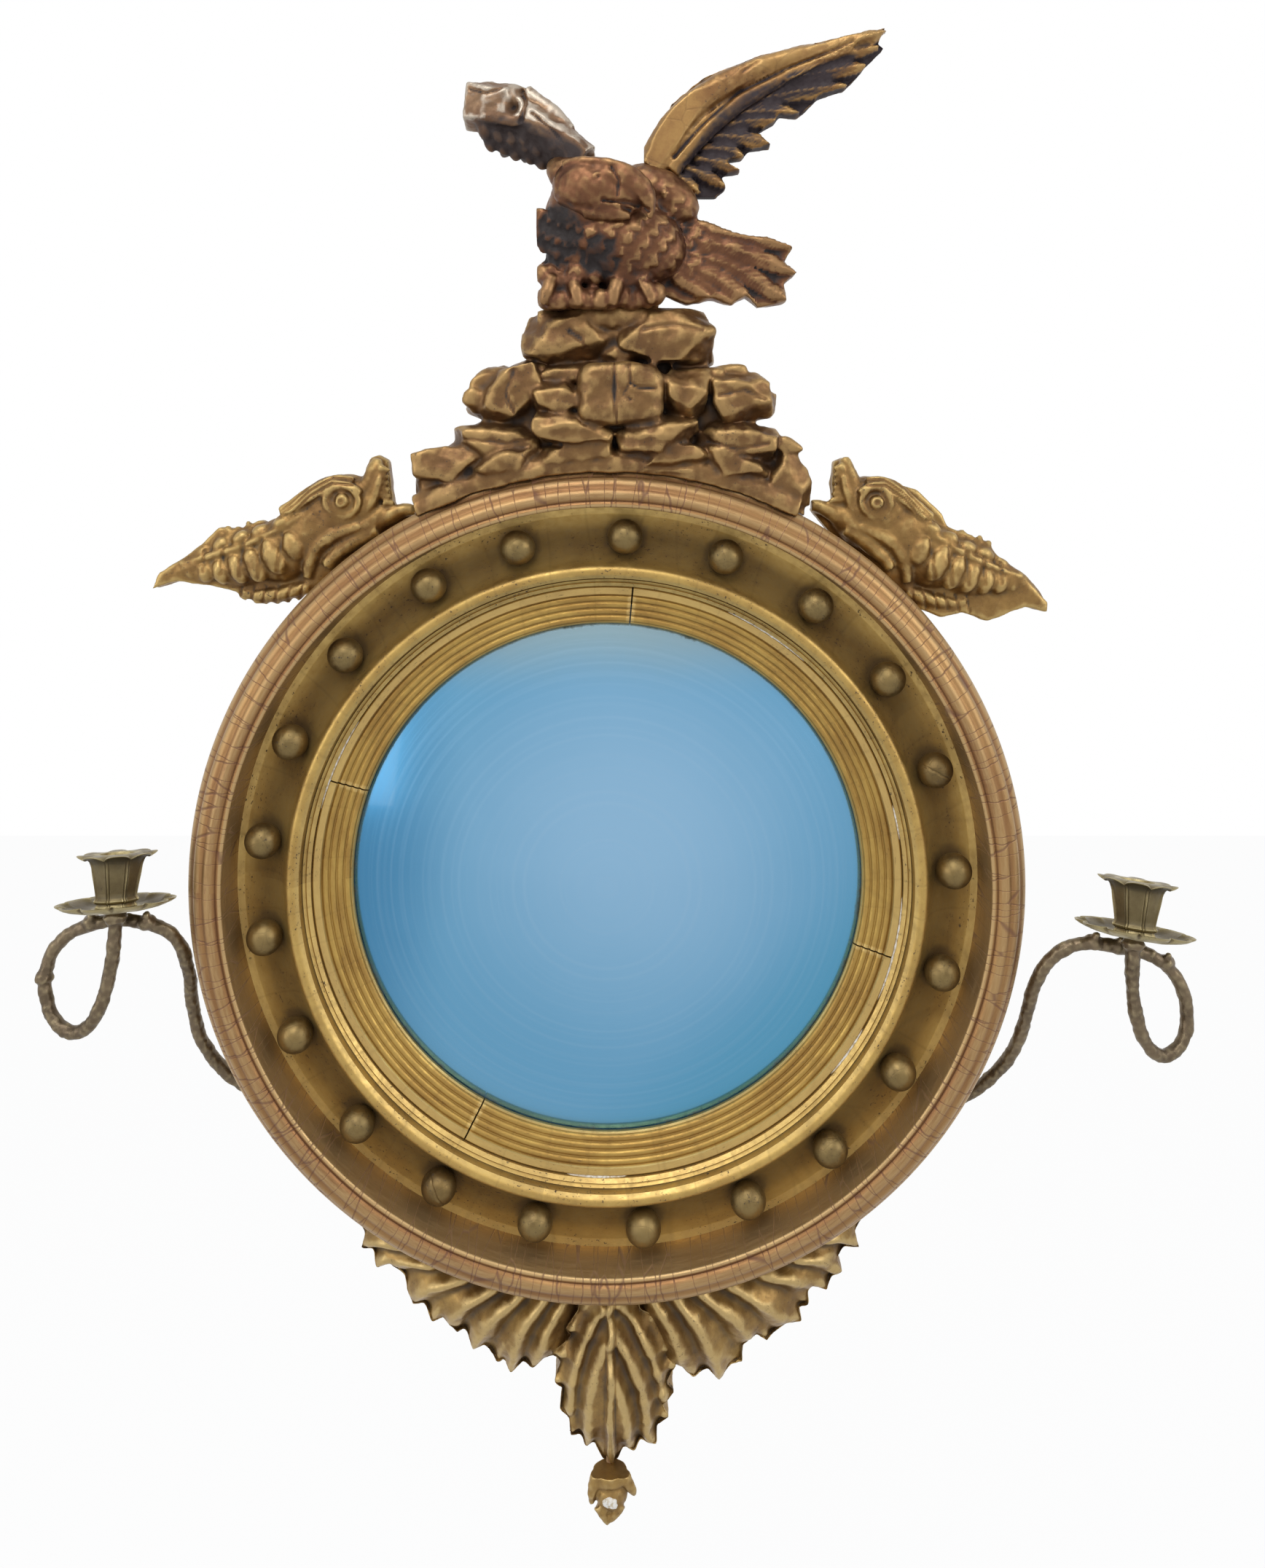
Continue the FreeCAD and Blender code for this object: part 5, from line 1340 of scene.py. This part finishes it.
# A painted shade on the breast under the head and between the legs, laid in as a lower relief.
painted_shade_under_head, painted_shade_between_legs = within(-36, 462, 20, 20), within(-4, 446, 14, 14)
paint_light_and_shade(eagle, lambda x, z, depth: -1.5 * painted_shade_under_head(x, z) - 1.2 * painted_shade_between_legs(x, z))
hang(eagle, "eagle_body_carving", "frame", eagle_gold, "eagle_gilding", "eagle_body")

# %% [markdown]
# The right wing is raised. A smooth thick band runs along its leading edge, and long feathers come
# out from under it. Each feather is a rule along its own line, and where two overlap the higher one
# wins, so the feathers look laid over each other with dark gaps between their tips.

# %% Right wing
wing_outline = [
    (46, 496), (30, 508), (28, 520), (42, 532), (43, 548), (46, 561), (70, 581), (110, 597),
    (160, 607), (201, 617),
    (195, 605), (200, 602), (186, 588), (184, 585), (171, 572), (152, 566), (137, 552), (124, 553), (120, 547),
    (108, 541), (118, 530), (102, 528), (97, 521), (84, 520), (96, 512), (82, 510), (86, 501), (79, 496),
    (74, 488), (58, 488)]
wing = clay([
    board(wing_outline, 42, 52),
    strand([(32, 514, 55, 12), (44, 536, 58, 12), (56, 555, 58, 11), (82, 573, 56, 9.5), (118, 590, 55, 8),
            (158, 600, 54, 6.5), (190, 609, 52, 4), (200, 613, 51, 1.5)]),
    strand([(44, 512, 56, 8), (62, 536, 56, 8), (92, 562, 55, 7), (130, 582, 54, 5.5),
            (176, 600, 52, 3)])], 1.3, 2)
plumes = [
    ([(118, 584), (160, 598), (200, 611)], 13, 5.0), ([(108, 577), (150, 590), (194, 601)], 13, 3.4),
    ([(102, 570), (146, 581), (186, 587)], 14, 5.2), ([(96, 561), (136, 569), (171, 573)], 14, 3.6),
    ([(86, 553), (112, 555), (138, 553)], 13, 5.2), ([(80, 545), (102, 548), (121, 548)], 11, 3.4),
    ([(76, 538), (98, 536), (119, 531)], 12, 5.0), ([(70, 529), (84, 528), (98, 523)], 11, 3.4),
    ([(66, 521), (82, 518), (97, 512)], 11, 4.8), ([(58, 514), (72, 509), (85, 501)], 10, 3.2),
    ([(50, 509), (58, 504), (66, 497)], 10, 4.4)]
x, z, depth, _ = places(wing)
laid = highest([feather(line, width, 0.6, high, 0.8, 0.45) for line, width, high in plumes], -3.5)
chisel(wing, lambda x, z: laid(x, z) * np.clip((60.5 - depth) / 4, 0, 1), 1)
wing_cuts = [ridge([(48, 520), (66, 541), (94, 567), (128, 584), (176, 603)], -2.6, 1.3, 0.8),
             ridge([(56, 516), (74, 536), (98, 556), (126, 574)], -2.0, 1.2, 0.8),
             ridge([(52, 549), (66, 566)], -1.2, 0.8, 1.0), ridge([(96, 580), (108, 588)], -1.2, 0.8, 1.0)]
chisel(wing, together(wing_cuts), 0)
finish_carving(wing, [(13, 0.8, 12), (4, 0.25, 13)], ["eagle_right_wing"], 16, slack=1.5)
band = [(36, 520), (50, 540), (64, 560), (90, 578), (124, 592), (160, 602), (200, 614)]


def shade_off_the_band(x, z, depth):
    """Lower the relief of all that lies off the leading edge's band, as a painted shade on the feathers below it.
    """
    gap, share = near_line(band, x, z)
    return -1.5 * np.clip((gap - 13 + 6 * share) / 6, 0, 1)


# The feathers below the leading edge's band get a painted shade.
paint_light_and_shade(wing, shade_off_the_band)
hang(wing, "eagle_right_wing_carving", "frame", wing_gold, "eagle_gilding", "eagle_right_wing")

# %% [markdown]
# Only a stump is left of the left wing. Its thick arm ends in a squared break where bare gesso
# shows grey, with a dark hole in it, and ragged small feathers hang from its underside.

# %% Left wing stump
stump_outline = [
    (-100, 572), (-82, 575), (-62, 567), (-42, 558), (-28, 544), (-10, 530), (-7, 512),
    (-30, 509), (-36, 520), (-46, 516), (-50, 526), (-60, 520), (-66, 528), (-76, 524),
    (-80, 534), (-90, 536),
    (-94, 546), (-102, 550)]
stump_parts = [
    board(stump_outline, 44, 58), stone(-80, 557, 21, 16, 74, -6, 61, 5, 46),
    strand([(-90, 560, 58, 13), (-62, 553, 62, 13), (-38, 537, 63, 13), (-18, 516, 64, 14)]),
    strand([(-58, 566, 60, 6), (-42, 556, 64, 6), (-26, 538, 66, 5)])]
for number in range(8):
    root_x, root_z = -86 + 9.0 * number, 541 - 3.2 * number
    stump_parts.append(mass(root_x, root_z, 60, 6.5, 10, 8, 14))
    stump_parts.append(mass(root_x + 3, root_z - 8, 57, 5.5, 8, 6, 10 + 8 * (number % 2)))
stump = clay(stump_parts, 1.3, 2)
stump_cuts = [lambda x, z: -9 * np.exp(-((x + 66) ** 2 + (z - 554) ** 2) / 26),
              ridge([(-60, 568), (-57, 556), (-60, 544)], -3.0, 1.4, 1.0),
              ridge([(-96, 566), (-84, 562), (-74, 566)], -1.6, 1.0, 1.0),
              ridge([(-52, 548), (-36, 534), (-22, 516)], -2.2, 1.2, 0.8)]
chisel(stump, together(stump_cuts), 0)
finish_carving(stump, [(9, 1.1, 15), (3.5, 0.35, 16)], ["eagle_left_wing"], 16, slack=1.5)
# A painted shade on the underside of the arm and a painted highlight along its upper band, laid in by the relief.
painted_shade_underside, painted_highlight_upper_band = within(-52, 524, 42, 17, -20), within(-44, 546, 30, 12, -38)
paint_light_and_shade(stump, lambda x, z, depth: -1.5 * painted_shade_underside(x, z) + 0.35 * painted_highlight_upper_band(x, z))
hang(stump, "eagle_left_wing_carving", "frame", stump_grey, "eagle_gilding", "eagle_left_wing")

# %% [markdown]
# The candle arms are cast like knotty twigs. A round strand follows the arm from its pin to the pan,
# with a knot where a side shoot was cut, and a remesh fuses the knots and the pin into one casting.
# The arm, the pan and the cup of each side turn together on the pin, so they ride on that arm.

# %% Arms
arm_lines = {
    "left": [(-222, -172, 15), (-250, -172, 15), (-272, -164, 16), (-289, -149, 18), (-300, -130, 24),
             (-304, -108, 31), (-304, -85, 38), (-303, -62, 46), (-306, -42, 54), (-314, -31, 58),
             (-328, -25, 60), (-348, -23, 59), (-368, -26, 58), (-390, -36, 56), (-402, -54, 56), (-403, -78, 57),
             (-394, -98, 60), (-378, -105, 64), (-362, -94, 69), (-352, -70, 72), (-347, -44, 72)],
    "right": [(222, -176, 15), (250, -177, 15), (270, -170, 16), (283, -158, 19), (294, -142, 26),
              (301, -123, 34), (304, -102, 42), (306, -78, 50), (310, -62, 56), (319, -49, 58),
              (332, -42, 58), (348, -40, 58), (366, -43, 58), (384, -47, 57), (400, -55, 56), (412, -71, 56),
              (417, -92, 57), (411, -113, 60), (395, -122, 64), (381, -110, 68), (372, -88, 72), (369, -64, 72)]}
seats = {"left": (-345.0, -12.0, -2.5, 10.0), "right": (371.0, -31.0, 8.0, 10.0)}
pin_tops = {"left": -172.0, "right": -176.0}
knots = {"left": [(-328, -25, 60), (-368, -26, 58), (-403, -66, 56)],
         "right": [(348, -40, 58), (366, -43, 58), (400, -55, 56)]}


def seat_matrix(side):
    """Where the pan of one side stands, with its lean."""
    x, z, lean, back = seats[side]
    turn = Matrix.Rotation(math.radians(lean), 4, "Y") @ Matrix.Rotation(math.radians(-back), 4, "X")
    return Matrix.Translation(spot(x, z, 72)) @ turn


def candle_arm(side):
    """Cast one arm with its knots, pin and spigot."""
    seat = seat_matrix(side)
    pin_x, pin_z = arm_lines[side][0][0], pin_tops[side]
    under = [seat @ Vector((0, 0, drop * MM)) for drop in (-14, -4)]
    run = [(x, z, depth, 4.8) for x, z, depth in arm_lines[side]]
    run += [(place.x * 1000, place.z * 1000, -place.y * 1000, 5.0) for place in under]
    parts = [strand(run, 6), strand([(pin_x, pin_z - 10, 15, 4.9), (pin_x, pin_z - 4, 15, 5.0),
                                     (pin_x, pin_z + 2, 15, 4.6)])]
    for number, (x, z, depth) in enumerate(knots[side]):
        parts.append(mass(x, z, depth, 6.8, 5.6, 6.6))
        parts.append(strand([(x, z, depth, 4.5), (x + 1, z + 6, depth + 3, 3.0), (x + 1, z + 8, depth + 4, 1.8)]))
    for drop, radius in ((-7.5, 7.4), (-5.0, 8.6), (-2.4, 7.0)):
        bpy.ops.mesh.primitive_uv_sphere_add(segments=24, ring_count=12, radius=radius * MM)
        ball = bpy.context.object
        ball.data.transform(seat @ Matrix.Translation((0, 0, drop * MM)) @ Matrix.Diagonal((1, 1, 0.34, 1)))
        parts.append(ball)
    arm = clay(parts, 1.05, 1)
    grainy(arm, 11, 0.8, 21)
    grainy(arm, 3.6, 0.55, 22)
    clear_bench()
    bpy.ops.mesh.primitive_cylinder_add(vertices=32, radius=3.9 * MM, depth=25 * MM,
                                        location=spot(pin_x, pin_z - 23, 15))
    pin = settle(bpy.context.object)
    bpy.ops.mesh.primitive_cylinder_add(vertices=32, radius=2.9 * MM, depth=6.4 * MM)
    spigot = bpy.context.object
    spigot.data.transform(seat @ Matrix.Translation((0, 0, 2.6 * MM)))
    note_relief(arm, 12)
    arm = weld(spigot, pin, arm)
    trim(arm, side + "_candle_arm", slack=0.0)
    return hang(arm, side + "_candle_arm_casting", side + "_arm", arm_brass, "aged_brass", side + "_candle_arm")


candle_arm("left")
candle_arm("right")

# %% [markdown]
# The pan and the cup are turned shapes with petals. The section is drawn as a strip of points and
# spun once round, which gives a smooth bowl. The petals are then pulled out of the bowl by a wave
# that grows towards the rim, and a finer wave makes the paired reeds between the flutes of the cup.

# %% Pans and cups
def spun_bowl(points, steps):
    """Spin a closed section of (radius, height) round the upright axis."""
    clear_bench()
    bpy.ops.mesh.primitive_circle_add(vertices=len(points), radius=0.01)
    bowl = bpy.context.object
    for vertex, (radius, height) in zip(bowl.data.vertices, points):
        vertex.co = Vector((radius, 0, height)) * MM
    open_up(bowl)
    bpy.ops.mesh.select_all(action="SELECT")
    bpy.ops.mesh.spin(steps=steps, angle=math.tau, axis=(0, 0, 1), center=(0, 0, 0))
    clear_bench()
    return outwards(bowl)


def petal_wave(bowl, shape):
    """Move each point by a rule of its radius, its height and its angle, all in millimetres."""
    place = read_points(bowl) * 1000
    radius = np.hypot(place[:, 0], place[:, 1])
    angle = np.arctan2(place[:, 1], place[:, 0])
    new_radius, new_height = shape(radius, place[:, 2], angle)
    moved = np.stack([new_radius * np.cos(angle), new_radius * np.sin(angle), new_height], 1)
    return write_points(bowl, moved * MM)


def pan_petals(radius, height, angle):
    """Five pairs of petals on the pan's rim, with shallow flutes running in from them."""
    reach = np.clip((radius - 10) / 29, 0, 1)
    lobe = np.abs(np.sin(angle * 5))
    edge = radius * (1 - 0.13 * reach ** 3 * (1 - lobe) ** 2)
    flute = 0.9 * reach * (lobe - 0.5) + 1.3 * reach ** 4 * (1 - lobe)
    return edge, np.clip(height + flute, -0.2, 7.5)


def cup_petals(radius, height, angle):
    """Eight flutes on the cup's wall, reeds between them, and a petal over each."""
    reach = np.clip((height - 3) / 32, 0, 1)
    outer = np.clip((radius - 11.3) / 2.5, 0, 1)
    lobe = np.abs(np.sin(angle * 4))
    flare = np.clip((radius - 17) / 9, 0, 1)
    reeds = np.where(lobe < 0.42, 0.55 * np.cos(angle * 48) + 0.3, 0.0)
    edge = radius + outer * (reeds * (1 - flare) - 0.9 * np.sin(reach * math.pi) * lobe * (1 - flare))
    edge = edge - flare * 3.6 * (1 - lobe) ** 2
    return edge, height - 2.6 * flare * (1 - lobe) ** 1.5


pan_section = [(3.1, 0), (12, 0), (22, 0.2), (28, 0.7), (33, 1.7), (37, 3.0), (39.6, 4.4), (40, 5.2),
               (39.2, 5.5), (36, 4.4), (32, 3.0), (27, 1.9), (21, 1.5), (17, 1.6), (3.1, 1.6)]
cup_section = [(3.1, 0), (13.6, 0), (14, 1.0), (13.2, 2.4), (12.9, 3.4), (14.6, 4.4), (15.2, 5.4), (14.4, 6.6),
               (13.8, 8), (14.2, 11), (14.9, 15), (15.7, 19), (16.5, 23), (17.2, 27), (17.9, 30), (18.6, 32.2),
               (20.2, 34.2), (23, 35.6), (26.4, 36.2), (26.8, 36.7), (26, 37), (22, 36.9), (16, 36.9),
               (13, 36.9), (11.6, 36.7), (11.1, 35.6), (11.05, 28), (11.05, 20), (11.05, 12),
               (11.05, 6.6), (8.2, 5.05), (3.1, 5.05)]
PAN_THICKNESS = 1.6
turned_pieces = (("_drip_pan", "_petals", pan_section, 120, pan_petals, 0.0),
                 ("_candle_cup", "_flutes", cup_section, 192, cup_petals, PAN_THICKNESS))
for side in ("left", "right"):
    for node, kind, section, steps, petals, lift in turned_pieces:
        bowl = petal_wave(spun_bowl(section, steps), petals)
        bowl.data.transform(seat_matrix(side) @ Matrix.Translation((0, 0, lift * MM)))
        smooth(bowl, 50)
        note_relief(bowl, 10)
        trim(bowl, side + node, slack=0.0)
        hang(bowl, side + node + kind, side + "_arm", cup_brass, "aged_brass", side + node)

# %% [markdown]
# The back and the small fittings keep their measured shapes and only get a finish: stained pine for
# the carcass, the boards, the batten and the glazing blocks, rusty iron for the screws, the plate
# and the ring, and dull brass for the two sockets. Pine is drawn from its growth rings: bands of
# early and late wood, stretched along the board, with fine fibres and a few stains.

# %% Pine
pine_grain, given, result = new_group(
    "pine_grain", [("Place", "vector"), ("Pale", "colour"), ("Dark", "colour"), ("Stain", "colour")],
    [("Colour", "colour"), ("Roughness", "number"), ("Height", "number")])
g = pine_grain
stretched = put(g, "Mapping", Vector=given["Place"], Scale=(1.0, 1.0, 0.09)).outputs[0]
drift = put(g, "TexNoise", Vector=stretched, Scale=14.0, Detail=3.0, Roughness=0.5)
bent = put(g, "VectorMath", {"operation": "MULTIPLY_ADD"}, _0=drift.outputs["Color"], _1=(0.03, 0.03, 0.03),
           _2=stretched).outputs[0]
rings = put(g, "TexWave", {"wave_type": "BANDS", "bands_direction": "X"}, Vector=bent, Scale=28.0,
            Distortion=1.5, Detail=2.0).outputs["Fac"]
fibres = put(g, "TexNoise", Vector=put(g, "Mapping", Vector=given["Place"], Scale=(1.0, 1.0, 0.03)).outputs[0],
             Scale=420.0, Detail=4.0, Roughness=0.6).outputs["Fac"]
stains = put(g, "TexNoise", Vector=given["Place"], Scale=9.0, Detail=6.0, Roughness=0.65).outputs["Fac"]
tone = blend_colours(g, span(g, rings, 0.35, 0.95), given["Pale"], given["Dark"])
tone = blend_colours(g, span(g, fibres, 0.45, 0.75, 0.0, 0.5), tone, given["Dark"])
tone = blend_colours(g, span(g, stains, 0.48, 0.7, 0.0, 0.75), tone, given["Stain"])
g.links.new(tone, result["Colour"])
g.links.new(span(g, fibres, 0.2, 0.8, 0.62, 0.85), result["Roughness"])
g.links.new(sums(g, "ADD", sums(g, "MULTIPLY", rings, 0.4), fibres), result["Height"])


def wooden(name, pale, dark, stain):
    """A pine finish with its own colours."""
    material, tree, shader = blank_finish(name)
    wood = put(tree, "Group", {"node_tree": pine_grain}, Place=put(tree, "TexCoord").outputs["Object"],
               Pale=(*pale, 1), Dark=(*dark, 1), Stain=(*stain, 1))
    dent = put(tree, "Bump", Strength=0.3, Distance=0.0006, Height=wood.outputs["Height"])
    wire(tree, shader, Base_Color=wood.outputs["Colour"], Roughness=wood.outputs["Roughness"],
         Normal=dent.outputs[0])
    return material


old_pine = wooden("old_pine", (0.40, 0.25, 0.12), (0.24, 0.13, 0.06), (0.11, 0.065, 0.035))
board_pine = wooden("board_pine", (0.47, 0.31, 0.16), (0.30, 0.17, 0.08), (0.15, 0.09, 0.05))

# %% [markdown]
# Old iron is dark, with rust that gathers in patches and pits. Rust is rough and not metallic, so
# the patch mask drives the colour, the roughness and the metal together.

# %% Iron
old_iron, tree, shader = blank_finish("old_iron")
place = put(tree, "TexCoord").outputs["Object"]
rust = put(tree, "TexNoise", Vector=place, Scale=120.0, Detail=7.0, Roughness=0.7).outputs["Fac"]
pits = put(tree, "TexNoise", Vector=place, Scale=900.0, Detail=3.0, Roughness=0.6).outputs["Fac"]
rusty = span(tree, rust, 0.44, 0.62)
metal_tone = blend_colours(tree, rusty, (0.10, 0.095, 0.09, 1), (0.21, 0.10, 0.05, 1))
metal_tone = blend_colours(tree, span(tree, pits, 0.5, 0.72, 0.0, 0.6), metal_tone, (0.045, 0.032, 0.026, 1))
dent = put(tree, "Bump", Strength=0.35, Distance=0.0005, Height=pits)
wire(tree, shader, Base_Color=metal_tone, Roughness=span(tree, rusty, 0.0, 1.0, 0.42, 0.85),
     Metallic=span(tree, rusty, 0.0, 1.0, 0.85, 0.1), Normal=dent.outputs[0])

# %% Finish the measured parts
kept_finishes = {
    old_pine: ["frame_carcass", "crest_batten", "glazing_blocks", "eagle_dowel", "wing_dowels", "bud_peg"],
    board_pine: ["backboard_left", "backboard_middle", "backboard_right"],
    arm_brass: ["left_arm_socket", "right_arm_socket"],
    old_iron: ["hanging_plate", "hanging_ring"]}
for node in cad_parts:
    if "screws" in node:
        kept_finishes[old_iron].append(node)
for finish, nodes in kept_finishes.items():
    for node in nodes:
        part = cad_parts[node]
        part.data.materials.clear()
        part.data.materials.append(finish)
still_plain = [node for node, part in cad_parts.items()
               if not part.hide_render and part.data.materials[0] not in kept_finishes]
print("measured parts without a finish:", still_plain)
